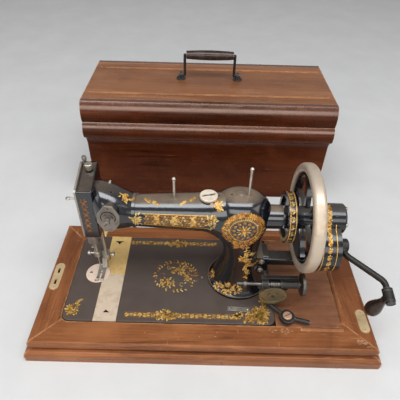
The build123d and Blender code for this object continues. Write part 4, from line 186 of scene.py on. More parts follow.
def japan(name, black, dust, dust_low, rough, chips=0.4, gloss=0.5, cleaner=0.0):
    """Black japan on iron: glossy, dusty where it faces up, chipped to brown along edges."""
    s = Shader(name, Coat_Weight=0.5 * gloss, Coat_Roughness=0.06, Specular_IOR_Level=gloss)
    patch = s.noise(s.place(), 38.0, 6.0, 0.65, 0.3)
    fine = s.noise(s.place(), 420.0, 3.0, 0.6)
    facing = s.span(s.normal_z(), dust_low, 0.98)
    film = s.calc("MULTIPLY", facing, s.span(patch, 0.25, 0.62, 0.5, 1.0))
    film = s.calc("MULTIPLY", film, s.span(fine, 0.2, 0.7, 0.75, 1.0))
    if cleaner:  # less dust at the needle head
        along = s.add("SeparateXYZ", Vector=s.place()).outputs[0]
        film = s.calc("MULTIPLY", film, s.span(along, -0.14, -0.08, 1.0 - cleaner, 1.0))
    colour = s.mix(s.span(patch, 0.45, 0.75, 0.0, 0.5), black, tuple(c * 1.9 + 0.002 for c in black))
    colour = s.mix(film, colour, dust)
    chip = s.calc("MULTIPLY", s.edges(0.0016), s.span(s.noise(s.place(), 150.0, 5.0, 0.7), 0.5, 0.62))
    chip = s.calc("MULTIPLY", chip, chips)
    colour = s.mix(chip, colour, (0.14, 0.08, 0.045))
    s.set("Base Color", colour)
    s.set("Roughness", s.calc("ADD", s.span(patch, 0.3, 0.7, rough, rough + 0.08),
                              s.calc("MULTIPLY", film, 0.4)))
    s.bump(s.calc("ADD", s.calc("MULTIPLY", patch, 0.5), s.calc("MULTIPLY", fine, 0.12)), 0.1, 0.0004)
    return s.mat


def metal(name, bright, tarnish, share, rough, scale, metallic=1.0, edge=(0.0009, 0.35)):
    """Bare or plated metal with tarnish and fine scratches; edge is the width and strength of the lighter
    edges, which are rubbed wear with a painted highlight along them.
    """
    s = Shader(name, Metallic=metallic)
    blotch = s.noise(s.place(), scale, 6.0, 0.65, 0.5)
    speck = s.noise(s.place(), scale * 9.0, 3.0, 0.6)
    score = s.noise(s.place((900.0, 60.0, 900.0), (0.2, 0.1, 0.4)), 1.0, 2.0, 0.5)
    spread = s.calc("ADD", s.span(blotch, 0.62 - 0.25 * share, 0.78, 0.0, 1.0),
                    s.span(speck, 0.66, 0.76, 0.0, 0.35 * share))
    spread = s.calc("MINIMUM", spread, 1.0)
    colour = s.mix(s.calc("MULTIPLY", spread, 0.85), bright, tarnish)
    # Lighter edges: rubbed wear, with a painted highlight along them
    reach, edge_rub_and_highlight = edge
    rubbed = tuple(min(1.0, c * 1.3) for c in bright)
    colour = s.mix(s.calc("MULTIPLY", s.edges(reach), edge_rub_and_highlight), colour, rubbed)
    s.set("Base Color", colour)
    s.set("Roughness", s.calc("ADD", s.span(blotch, 0.3, 0.75, rough, rough + 0.22),
                              s.span(score, 0.4, 0.7, 0.0, 0.1)))
    s.bump(s.calc("ADD", s.calc("MULTIPLY", speck, 0.4), s.calc("MULTIPLY", score, 0.3)), 0.1, 0.0002)
    return s.mat


def iron(name, colour, rough=0.42):
    """Dark iron with a thin film of rust and rubbed edges."""
    s = Shader(name, Metallic=0.55)
    blotch = s.noise(s.place(), 70.0, 6.0, 0.65)
    tone = s.mix(s.span(blotch, 0.4, 0.75, 0.0, 0.7), colour, tuple(c * 2.0 + 0.01 for c in colour))
    rust = s.noise(s.place(), 210.0, 4.0, 0.7)
    tone = s.mix(s.span(rust, 0.6, 0.78, 0.0, 0.5), tone, (0.09, 0.045, 0.022))
    tone = s.mix(s.calc("MULTIPLY", s.edges(0.0014), 0.6), tone, (0.3, 0.27, 0.24))
    s.set("Base Color", tone)
    s.set("Roughness", s.span(blotch, 0.3, 0.7, rough - 0.1, rough + 0.15))
    s.bump(blotch, 0.15, 0.0004)
    return s.mat


def plain(name, low, high, rough):
    """Dull film whose colour wanders between two tones."""
    s = Shader(name, Roughness=rough, Specular_IOR_Level=0.25)
    s.set("Base Color", s.ramp(s.noise(s.place(), 120.0, 5.0, 0.65), (0.35, low), (0.65, high)))
    return s.mat


def gold(name, bright, deep):
    """Old gold transfer: bright and rubbed-thin patches."""
    s = Shader(name, Metallic=0.3, Specular_IOR_Level=0.3, Specular_Tint=(1.0, 0.78, 0.4, 1.0))
    patch = s.noise(s.place(), 170.0, 5.0, 0.7)
    shine = tuple(min(1, c * 1.25) for c in bright)
    s.set("Base Color", s.ramp(patch, (0.34, deep), (0.52, bright), (0.75, shine)))
    s.set("Roughness", s.span(patch, 0.3, 0.7, 0.3, 0.5))
    return s.mat


MAHOGANY = dict(dark=(0.088, 0.026, 0.01), mid=(0.245, 0.086, 0.031), light=(0.42, 0.17, 0.063),
                worn=(0.66, 0.36, 0.16), shine=0.42)
# Cover walls and ends: dark mahogany darkened further with painted shade, much darker than the cover top
COVER_WALLS_WITH_SHADE = dict(dark=(0.022, 0.0048, 0.0016), mid=(0.066, 0.0138, 0.0042), light=(0.14, 0.036, 0.011),
             worn=(0.36, 0.15, 0.06))
LOOKS = {
    "wood_x": wood("mahogany_x", 0, **MAHOGANY),
    "wood_y": wood("mahogany_y", 1, **MAHOGANY),
    # Cover walls and ends, whose colours carry painted shade
    "cover_walls_shaded_x": wood("cover_walls_shaded_x", 0, **COVER_WALLS_WITH_SHADE, wear=0.45, rough=0.22, shine=0.2, polish=1.0),
    "cover_walls_shaded_y": wood("cover_walls_shaded_y", 1, **COVER_WALLS_WITH_SHADE, wear=0.45, rough=0.22, shine=0.2, polish=1.0),
    "cover_top": wood("cover_top", 0, (0.12, 0.045, 0.02), (0.23, 0.092, 0.038), (0.36, 0.165, 0.075),
                      (0.55, 0.3, 0.14), 0.7, 0.3),
    "deck": wood("deck_wood", 0, (0.11, 0.042, 0.021), (0.235, 0.099, 0.05), (0.37, 0.17, 0.092),
                 (0.45, 0.24, 0.12), 0.6, 0.26),
    "arm": japan("japan_arm", (0.0032, 0.0036, 0.006), (0.185, 0.124, 0.072), 0.82, 0.12, gloss=0.75,
                 cleaner=0.6),
    "bed": japan("japan_bed", (0.05, 0.034, 0.026), (0.074, 0.053, 0.043), 0.6, 0.3, 0.7, 0.3),
    "wheel": japan("japan_wheel", (0.007, 0.007, 0.0085), (0.06, 0.047, 0.035), 0.85, 0.16),
    "case": japan("japan_case", (0.007, 0.007, 0.0085), (0.05, 0.04, 0.031), 0.85, 0.14),
    "rim": metal("rim_nickel", (0.55, 0.45, 0.345), (0.36, 0.22, 0.12), 0.45, 0.3, 34.0, 0.5),
    "nickel": metal("nickel", (0.64, 0.58, 0.49), (0.24, 0.18, 0.13), 0.5, 0.24, 70.0),
    "dull_nickel": metal("dull_nickel", (0.28, 0.25, 0.215), (0.11, 0.09, 0.072), 0.6, 0.34, 60.0, 0.85),
    "plate": metal("plate_steel", (0.72, 0.57, 0.42), (0.4, 0.28, 0.18), 0.55, 0.36, 48.0, 0.5),
    "needle_plate": metal("needle_plate_steel", (0.8, 0.62, 0.49), (0.5, 0.34, 0.24), 0.4, 0.42, 60.0, 0.4),
    "brass": metal("brass", (0.8, 0.54, 0.21), (0.44, 0.27, 0.09), 0.5, 0.38, 52.0, 0.4),
    "strike": metal("strike_brass", (0.72, 0.54, 0.31), (0.36, 0.23, 0.11), 0.5, 0.38, 60.0, 0.75),
    "steel": metal("steel", (0.46, 0.43, 0.38), (0.16, 0.12, 0.09), 0.55, 0.32, 80.0),
    "winder_disc": metal("winder_bronze", (0.3, 0.26, 0.16), (0.12, 0.095, 0.055), 0.6, 0.38, 70.0),
    "spindle": metal("spindle_steel", (0.13, 0.12, 0.11), (0.05, 0.042, 0.036), 0.5, 0.3, 80.0),
    "cap": metal("cap_nickel", (0.74, 0.64, 0.52), (0.46, 0.35, 0.25), 0.45, 0.4, 60.0, 0.3),
    "face": metal("face_nickel", (0.4, 0.36, 0.3), (0.16, 0.13, 0.1), 0.6, 0.3, 60.0, 0.85),
    # Wide full-strength light edges: a painted highlight round the tension plate's rim
    "tension_plate": metal("tension_nickel", (0.27, 0.24, 0.205), (0.12, 0.1, 0.08), 0.55, 0.36, 60.0, 0.8,
                           (0.0026, 1.0)),
    "scuff": plain("scuff", (0.34, 0.19, 0.1), (0.58, 0.42, 0.28), 0.55),
    "iron": iron("dark_iron", (0.022, 0.019, 0.017)),
    "ebony": iron("ebonised", (0.042, 0.028, 0.022), 0.24),
    "copper": metal("copper_screw", (0.55, 0.33, 0.22), (0.22, 0.12, 0.07), 0.4, 0.4, 90.0, 0.7),
    # Near-black for slots, oil holes and notches: painted shade of recesses and openings
    "hole": iron("oil_hole", (0.004, 0.004, 0.004), 0.7),
    "gold": gold("gold_bright", (0.66, 0.38, 0.085), (0.3, 0.14, 0.026)),
    "gold_deep": gold("gold_deep", (0.42, 0.19, 0.04), (0.15, 0.055, 0.013)),
    "russet": gold("gold_russet", (0.36, 0.13, 0.04), (0.12, 0.035, 0.012)),
    "gold_pale": gold("gold_pale", (0.58, 0.43, 0.17), (0.34, 0.21, 0.06)),
}
WEAR = {
    "wood_x": ("base_rail_front", "base_rail_back", "base_bottom_board"),
    "wood_y": ("base_rail_left", "base_rail_right"),
    "cover_walls_shaded_x": ("cover_sides",),
    "cover_walls_shaded_y": ("cover_ends",),
    "cover_top": ("cover_top",),
    "deck": ("deck_panel",),
    "arm": ("arm_casting",),
    "bed": ("bed_plate",),
    "wheel": ("hand_wheel", "belt_pulley"),
    "case": ("gear_case", "gear_case_cover"),
    "rim": ("wheel_rim",),
    "nickel": ("pressure_screw", "spool_pins"),
    "cap": ("oil_cap_screw",),
    "face": ("face_plate",),
    "tension_plate": ("tension_plate",),
    "spindle": ("winder_spindle",),
    "dull_nickel": ("head_end_cap", "tension_nut", "tension_discs"),
    "plate": ("slide_plate_front",),
    "needle_plate": ("needle_plate",),
    "brass": ("slide_plate_rear", "hinge_leaves"),
    "strike": ("strike_plates",),
    "steel": ("tension_spring", "shaft_bushes", "hinge_studs", "shuttle_race", "presser_spring", "main_shaft",
              "needle_crank", "pinion", "crank_shaft", "crank_gear", "needle_bar", "needle_clamp", "needle",
              "presser_bar", "presser_foot", "take_up_lever", "rocker_lever", "shuttle_lever",
              "shuttle_carrier", "shuttle", "feed_dog"),
    "winder_disc": ("winder_gear",),
    "iron": ("crank_arm", "handle_knuckle", "presser_lifter", "winder_frame", "cover_handle_posts",
             "cover_handle_bail"),
    "ebony": ("handle_grip", "cover_handle_grip"),
}
for look, names in WEAR.items():
    for node_name in names:
        for material_slot in NODES[node_name].material_slots:
            material_slot.material = LOOKS[look]


# Gold ornament

# The near-black tone is painted shade, used for slots and openings
TONES = ("gold", "gold_deep", "russet", "gold_pale", "hole", "scuff")
GOLD, DEEP, RUSSET, PALE, SHADE_TONE, SCUFF = range(len(TONES))


class Ornament:
    """Flat strips in millimetres, each with a tone, that are then laid on the part."""

    def __init__(self, seed, shares=(6, 3, 1, 3)):
        self.strips = []
        self.shares = shares
        self.rng = random.Random(seed)

    def strip(self, left, right, tone):
        self.strips.append((left, right, tone))

    def tone(self):
        return self.rng.choices((GOLD, DEEP, RUSSET, PALE), self.shares)[0]

    def leaf(self, x, y, angle, length, width, tone=None):
        left, right = [], []
        ca, sa = math.cos(angle), math.sin(angle)
        for i in range(6):
            t = i / 5
            half = width / 2 * math.sin(math.pi * min(1, 0.08 + 0.92 * t)) ** 0.8
            bend = width * 0.35 * math.sin(math.pi * t)
            for side, points in ((1, left), (-1, right)):
                u, v = t * length, bend + side * half
                points.append((x + u * ca - v * sa, y + u * sa + v * ca))
        self.strip(left, right, self.tone() if tone is None else tone)

    def dot(self, x, y, radius, tone=None):
        left, right = [], []
        for i in range(7):
            a = math.pi * i / 6
            left.append((x - radius * math.cos(a), y + radius * math.sin(a)))
            right.append((x - radius * math.cos(a), y - radius * math.sin(a)))
        self.strip(left, right, self.tone() if tone is None else tone)

    def line(self, points, width, tone=DEEP):
        left, right = [], []
        for i, (x, y) in enumerate(points):
            x0, y0 = points[max(0, i - 1)]
            x1, y1 = points[min(len(points) - 1, i + 1)]
            size = math.hypot(x1 - x0, y1 - y0) or 1
            nx, ny = -(y1 - y0) / size * width / 2, (x1 - x0) / size * width / 2
            left.append((x + nx, y + ny))
            right.append((x - nx, y - ny))
        self.strip(left, right, tone)

    def flower(self, x, y, radius, petals=6):
        turn = self.rng.uniform(0, 6)
        for i in range(petals):
            a = turn + math.tau * i / petals
            self.leaf(x + 0.2 * radius * math.cos(a), y + 0.2 * radius * math.sin(a), a, radius * 0.85,
                      radius * 0.55)
        self.dot(x, y, radius * 0.2, RUSSET)

    def vine(self, start, end, swing, wave, leaf):
        """Waving stem between two points with leaves on both sides and berries between."""
        (x0, y0), (x1, y1) = start, end
        length = math.hypot(x1 - x0, y1 - y0)
        ux, uy = (x1 - x0) / length, (y1 - y0) / length
        count = max(8, int(length / wave * 10))
        stem = []
        for i in range(count + 1):
            t = length * i / count
            off = swing * math.sin(math.tau * t / wave)
            stem.append((x0 + ux * t - uy * off, y0 + uy * t + ux * off))
        self.line(stem, leaf * 0.16)
        base = math.atan2(uy, ux)
        for i, (x, y) in enumerate(stem[1:-1]):
            side = 1 if i % 2 else -1
            if i % 5 == 3:
                self.dot(x - uy * side * swing, y + ux * side * swing, leaf * 0.2)
            else:
                size = leaf * self.rng.uniform(0.75, 1.2)
                self.leaf(x, y, base + side * self.rng.uniform(0.5, 1.2), size, size * 0.42)

    def cluster(self, x, y, half_w, half_h, count, size):
        """Bunch of flowers and leaves, thickest in the middle."""
        for _ in range(count):
            a, r = self.rng.uniform(0, math.tau), self.rng.random() ** 0.7
            px, py = x + half_w * r * math.cos(a), y + half_h * r * math.sin(a)
            if self.rng.random() < 0.32:
                self.flower(px, py, size * self.rng.uniform(0.55, 0.95))
            else:
                grown = size * self.rng.uniform(0.8, 1.5)
                self.leaf(px, py, a + self.rng.uniform(-0.8, 0.8), grown, grown * 0.42)

    def spray(self, x, y, angle, length, size):
        """Curved branch with paired leaves that shrink to its tip, and a bud."""
        stem, bend = [], self.rng.choice((-1, 1)) * 0.5
        for i in range(9):
            t = i / 8
            a = angle + bend * t
            stem.append((x + length * t * math.cos(a), y + length * t * math.sin(a)))
        self.line(stem, size * 0.14)
        for i, (px, py) in enumerate(stem[1:]):
            grown = size * (1.1 - 0.08 * i)
            for side in (-1, 1):
                self.leaf(px, py, angle + bend + side * 0.8, grown, grown * 0.42)
        self.flower(*stem[-1], size * 0.6, 5)

    def scroll(self, x, y, angle, size, hand):
        """Spiral tendril with small leaves outside it."""
        points = []
        for i in range(22):
            t = i / 21
            a = angle + hand * t * 5.2
            r = size * (1 - 0.82 * t)
            points.append((x + r * math.cos(a), y + r * math.sin(a)))
        self.line(points, size * 0.13, GOLD)
        for i in range(1, 14, 3):
            px, py = points[i]
            out = math.atan2(py - y, px - x)
            self.leaf(px, py, out + hand * 0.7, size * 0.42, size * 0.18)

    def border(self, start, end, half, step):
        """Running band: edge lines, a chain of flowers, and leaves that lie along it."""
        (x0, y), (x1, _) = start, end
        count = int((x1 - x0) / step)
        for edge in (-half, half):
            self.line([(x0 + (x1 - x0) * i / count, y + edge) for i in range(count + 1)], 0.45)
        for i in range(count):
            x = x0 + (i + 0.5) * step
            if i % 3 == 0:
                self.flower(x, y, half * 0.85, 8)
                continue
            for edge in (-0.55, 0, 0.55):
                size = step * self.rng.uniform(0.85, 1.1)
                way = math.pi * (i % 3 == 1) + self.rng.uniform(-0.15, 0.15)
                self.leaf(x + step * (0.5 if i % 3 == 1 else -0.5), y + edge * half, way, size, half * 0.42)

    def thin(self, share):
        """Drops a share of the strips, as rubbed-off gold."""
        self.strips = [s for s in self.strips if self.rng.random() > share]

    def ring(self, x, y, half_w, half_h, count, size):
        """Oval wreath of overlapping leaves."""
        lean = 0.9
        for i in range(count):
            a = math.tau * i / count
            along = math.atan2(half_h * math.cos(a), -half_w * math.sin(a))
            for side in (-1, 1):
                grown = size * self.rng.uniform(0.8, 1.15)
                self.leaf(x + half_w * math.cos(a), y + half_h * math.sin(a), along + side * lean, grown,
                          grown * 0.42)

    def oval(self, x, y, half_w, half_h, width, tone):
        self.line([(x + half_w * math.cos(math.tau * i / 48), y + half_h * math.sin(math.tau * i / 48))
                   for i in range(49)], width, tone)


# Where rays start and how far they go, in metres
ABOVE_Z, FRONT_Y, LEFT_X = 0.4, -0.3, -0.06
TILTED_BACK = 0.15
RAY_LENGTH = 0.6
TORN_GAP = 0.002
TREES = {}


def tree(node_name):
    if node_name not in TREES:
        mesh = NODES[node_name].data
        TREES[node_name] = BVHTree.FromPolygons([v.co for v in mesh.vertices],
                                                [tuple(p.vertices) for p in mesh.polygons])
    return TREES[node_name]


def touch(targets, start, way):
    """Nearest point and outward normal where a ray meets the target nodes."""
    best = None
    for target in targets:
        at, normal, _, far = tree(target).ray_cast(start, way, RAY_LENGTH)
        if at is not None and (best is None or far < best[2]):
            best = (at, normal if normal.dot(way) < 0 else -normal, far)
    return best


def lay(name, body, ornament, aim, targets, lift=0.16):
    """Puts an ornament's strips on the target nodes; aim turns (u, v) into a ray."""
    verts, faces, tones = [], [], []
    for left, right, tone in ornament.strips:
        points = []
        for pair in zip(left, right):
            for u, v in pair:
                met = touch(targets, *aim(u, v))
                if met is None:
                    break
                points.append(met[0] + met[1] * lift * MM)
        if len(points) < 2 * len(left):
            continue
        spread = max((points[i + 2] - points[i]).length for i in range(len(points) - 2))
        flat = max(math.dist(left[i], left[i + 1]) for i in range(len(left) - 1)) * MM
        if spread > 3 * flat + TORN_GAP:  # the strip falls over an edge
            continue
        first = len(verts)
        verts.extend(points)
        for i in range(len(left) - 1):
            a = first + 2 * i
            faces.append((a, a + 1, a + 3, a + 2))
            tones.append(tone)
    mesh = bpy.data.meshes.new(name)
    mesh.from_pydata(verts, [], faces)
    for look in TONES:
        mesh.materials.append(LOOKS[look])
    mesh.polygons.foreach_set("material_index", tones)
    mesh.polygons.foreach_set("use_smooth", [True] * len(faces))
    piece = bpy.data.objects.new(name, mesh)
    bpy.context.scene.collection.objects.link(piece)
    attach(piece, body)


def from_above(u, v):
    return Vector((u * MM, v * MM, ABOVE_Z)), Vector((0, 0, -1))


def from_front(u, v):
    return Vector((u * MM, FRONT_Y, v * MM)), Vector((0, 1, 0))


def from_left(u, v):
    return Vector((LEFT_X, u * MM, v * MM)), Vector((1, 0, 0))


def round_axis(y, z, reach, radius):
    """Rays towards an axis along X: u is x, v the arc length up from the front."""
    def aim(u, v):
        a = v / radius
        out = Vector((0, -math.cos(a), math.sin(a)))
        return Vector((u * MM, y * MM, z * MM)) + out * reach * MM, -out
    return aim


def tilted(centre, turn):
    """Rays along +Y, tipped down by turn, through a plane at centre."""
    way = Vector((0, math.cos(turn), -math.sin(turn)))
    rise = Vector((0, math.sin(turn), math.cos(turn)))

    def aim(u, v):
        return (Vector(centre) + Vector((u, 0, 0)) + rise * v) * MM - way * TILTED_BACK, way
    return aim


# Places of the ornament, in millimetres
BED_LOW, BED_HIGH = (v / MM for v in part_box("bed_plate"))
BACK_BORDER_Y = BED_HIGH.y - 13
FRONT_BORDER_Y = BED_LOW.y + 11.5
WREATH_X, WREATH_Y = -45, 5
ARM_AXIS = (8.0, 179.0)
ARM_REACH, ARM_RADIUS = 60, 25
BAND_UP = 4
BAND_HALF = 9.4
BAND_STEP = 4.1
MEDALLION_AT, MEDALLION_TILT = (50, -20, 172), 0.25
FOOT_AT, FOOT_TILT = (36, -28, 54), 0.62
HEAD_FRONT_X, HEAD_FRONT_Z = -161.5, 152
SHAFT_AXIS = (8.0, 172.5)
CRANK_AXIS = (-9.97, 136.77)
PULLEY_R, PULLEY_EDGES_X = 36.0, (109.0, 116.6)
CASE_TOP_R, CASE_LOW_R, CASE_EDGES_X = 21.0, 36.6, (156.0, 174.0)
CASE_ARC = (math.radians(-75), math.radians(95))
WHOLE_TURN = (0, math.tau)


def bed_borders():
    bed = Ornament(3, (8, 3, 1, 2))
    bed.border((-126, BACK_BORDER_Y), (24, BACK_BORDER_Y), 4.0, 6.2)
    bed.border((-116, FRONT_BORDER_Y), (50, FRONT_BORDER_Y), 4.2, 6.4)
    bed.cluster(-45, BACK_BORDER_Y, 19, 5.5, 40, 4.4)
    bed.cluster(-55, FRONT_BORDER_Y + 1, 18, 6.0, 44, 4.6)
    bed.cluster(84, FRONT_BORDER_Y + 4, 13, 12, 70, 5.2)
    bed.cluster(62, FRONT_BORDER_Y + 1, 16, 7, 36, 4.8)
    bed.spray(92, FRONT_BORDER_Y + 14, 1.5, 16, 4.2)
    bed.cluster(BED_LOW.x + 13.5, FRONT_BORDER_Y + 6, 8, 8.5, 34, 4.8)
    bed.spray(BED_LOW.x + 16, FRONT_BORDER_Y + 14, 1.4, 12, 3.6)
    lay("bed_ornament", "head", bed, from_above, ["bed_plate"])


def bed_wreath():
    oval = Ornament(11)
    oval.ring(WREATH_X, WREATH_Y, 33, 29, 34, 4.6)
    oval.oval(WREATH_X, WREATH_Y, 28.5, 25, 0.5, DEEP)
    oval.cluster(WREATH_X - 13, WREATH_Y - 13, 11, 9, 34, 4.6)
    oval.cluster(WREATH_X + 8, WREATH_Y + 13, 17, 9, 34, 4.6)
    oval.cluster(WREATH_X + 17, WREATH_Y - 3, 9, 9, 20, 4.2)
    for i in range(6):
        a = i * 1.05
        oval.scroll(WREATH_X + 21 * math.cos(a), WREATH_Y + 18 * math.sin(a), i, 4.6, (-1) ** i)
    oval.thin(0.3)
    lay("bed_oval_ornament", "head", oval, from_above, ["bed_plate"], 0.1)


def arm_band():
    """Framed band along the arm, filled with four-petalled flowers and three larger ones."""
    band = Ornament(5, (2, 2, 0, 7))
    for edge in (-BAND_HALF, BAND_HALF):
        band.line([(-86 + i * 4, edge) for i in range(23)], 0.9, GOLD)
        band.line([(-84 + i * 4, edge * 0.86) for i in range(22)], 0.4)
    for row in range(4):
        for i in range(20):
            x, y = -82 + (i + 0.5 * (row % 2)) * BAND_STEP, -5.7 + row * 3.8
            for turn in range(4):
                tone = DEEP if (i + row) % 3 else PALE
                band.leaf(x, y, math.pi / 4 + turn * math.pi / 2, 2.4, 1.1, tone)
            band.dot(x + BAND_STEP / 2, y, 0.42, DEEP)
    for x, size in ((-42, 6.2), (-66, 4.6), (-18, 4.6)):
        band.flower(x, 0, size, 8)
        for edge in (-1, 1):
            for lean in (-0.8, 0.8):
                band.leaf(x, edge * 4, edge * 1.57 + lean, 6.5, 2.6, GOLD)
    band.cluster(-93, 0, 5, 9, 22, 4.2)
    band.cluster(7, 1, 6, 8, 22, 4.2)
    round_arm = round_axis(*ARM_AXIS, ARM_REACH, ARM_RADIUS)
    lay("arm_band_ornament", "head", band, lambda u, v: round_arm(u, v + BAND_UP), ["arm_casting"])


def arm_top():
    top_sprays = Ornament(8)
    for x in (-74, -25):
        top_sprays.spray(x, 0, 0.1, 10, 3.0)
        top_sprays.spray(x, 0, math.pi - 0.1, 10, 3.0)
    top_sprays.cluster(13, -6, 7, 5, 16, 3.6)
    top_sprays.cluster(-109, 2, 5, 5, 16, 3.6)
    top_sprays.spray(-104, 0, 0.2, 8, 2.8)
    lay("arm_top_ornament", "head", top_sprays, from_above, ["arm_casting"])


def pillar_medallion():
    rose = Ornament(21, (2, 6, 3, 1))
    for half, count, size in ((26.5, 52, 5.0), (22.5, 46, 4.2)):
        rose.ring(0, 0, half, half * 0.93, count, size)
    rose.oval(0, 0, 18.8, 17.4, 0.9, PALE)
    rose.oval(0, 0, 17.0, 15.6, 0.45, DEEP)
    for i in range(12):
        a = i * math.tau / 12
        rose.flower(13.6 * math.cos(a), 12.6 * math.sin(a), 2.5)
        rose.leaf(4.4 * math.cos(a), 4 * math.sin(a), a + 0.3, 6.4, 2.2, PALE if i % 2 else DEEP)
    rose.flower(0, 0, 4.6, 8)
    for i in range(13):
        a = math.radians(35 + i * 9.2)
        rose.flower(26.8 * math.cos(a), 24.8 * math.sin(a), 3.3)
    rose.cluster(0, -26, 15, 6, 34, 4.2)
    lay("pillar_rosette", "head", rose, tilted(MEDALLION_AT, MEDALLION_TILT), ["arm_casting"])


def pillar_leaves():
    """Leaves below the medallion, on the foot's front and on its left side."""
    tail = Ornament(23)
    tail.vine((56, 138), (62, 78), 3.2, 22, 5.4)
    tail.cluster(59, 118, 9, 8, 26, 4.6)
    tail.spray(60, 108, -2.0, 20, 4.4)
    tail.spray(60, 108, -1.1, 20, 4.4)
    lay("pillar_tail_ornament", "head", tail, from_front, ["arm_casting"])
    foot = Ornament(31, (4, 3, 1, 5))
    foot.cluster(0, 0, 19, 8, 58, 3.4)
    foot.ring(0, 0, 19.5, 8.5, 18, 3.2)
    lay("pillar_foot_ornament", "head", foot, tilted(FOOT_AT, FOOT_TILT), ["arm_casting"])
    side_leaf = Ornament(33, (3, 5, 1, 1))
    side_leaf.cluster(3, 51, 8, 5, 22, 3.4)
    lay("pillar_side_ornament", "head", side_leaf, from_left, ["arm_casting"])


def head_front():
    face = Ornament(41, (0, 3, 7, 0))
    for i in range(6):
        z = HEAD_FRONT_Z + i * 10
        face.flower(HEAD_FRONT_X, z, 2.8)
        for side in (-1, 1):
            x = HEAD_FRONT_X + side * 1.4
            face.leaf(x, z + 3.2, math.pi / 2 - side * 1.2, 3.8, 1.5)
            face.leaf(x, z + 5.6, math.pi / 2 - side * 0.5, 3.4, 1.3)
    lay("head_front_ornament", "head", face, from_front, ["arm_casting"])


def hoop(name, seed, body, target, axis, radius, edges_x, arc, turns, size):
    """Band round a drum over an arc: edge lines, with flowers and leaf pairs by turns."""
    band = Ornament(seed)
    low, high = arc
    middle = sum(edges_x) / 2
    for x in edges_x:
        band.line([(x, radius * (low + (high - low) * i / turns)) for i in range(turns + 1)], 0.9, GOLD)
    for i in range(turns):
        v = radius * (low + (high - low) * (i + 0.5) / turns)
        if i % 2:
            band.leaf(middle, v, 0.9, 5.0, 2.2)
            band.leaf(middle, v, math.pi - 0.9, 5.0, 2.2)
        else:
            band.flower(middle, v, size, 5)
    lay(name, body, band, round_axis(*axis, radius + 25, radius), [target])


bed_borders()
bed_wreath()
arm_band()
arm_top()
pillar_medallion()
pillar_leaves()
head_front()
hoop("belt_pulley_hoop_0", 51, "wheel", "belt_pulley", SHAFT_AXIS, PULLEY_R, PULLEY_EDGES_X, WHOLE_TURN,
     40, 2.6)
hoop("gear_case_hoop_1", 52, "head", "gear_case", SHAFT_AXIS, CASE_TOP_R, CASE_EDGES_X, CASE_ARC, 22, 3.4)
hoop("gear_case_hoop_2", 53, "head", "gear_case", CRANK_AXIS, CASE_LOW_R, CASE_EDGES_X, CASE_ARC, 22, 3.4)


# Small fittings

# Sizes of the fittings, in millimetres
SLOT_T, SLOT_EDGE = 0.2, 0.05
POINT = 0.01
BADGE_X, BADGE_Y, BADGE_TURN = 52, -54, 0.06
BADGE_L, BADGE_W, BADGE_T = 33, 7.5, 0.7
RIVET_OUT = 13.5
COIL_WIRE, COIL_TURNS = 0.5, 2


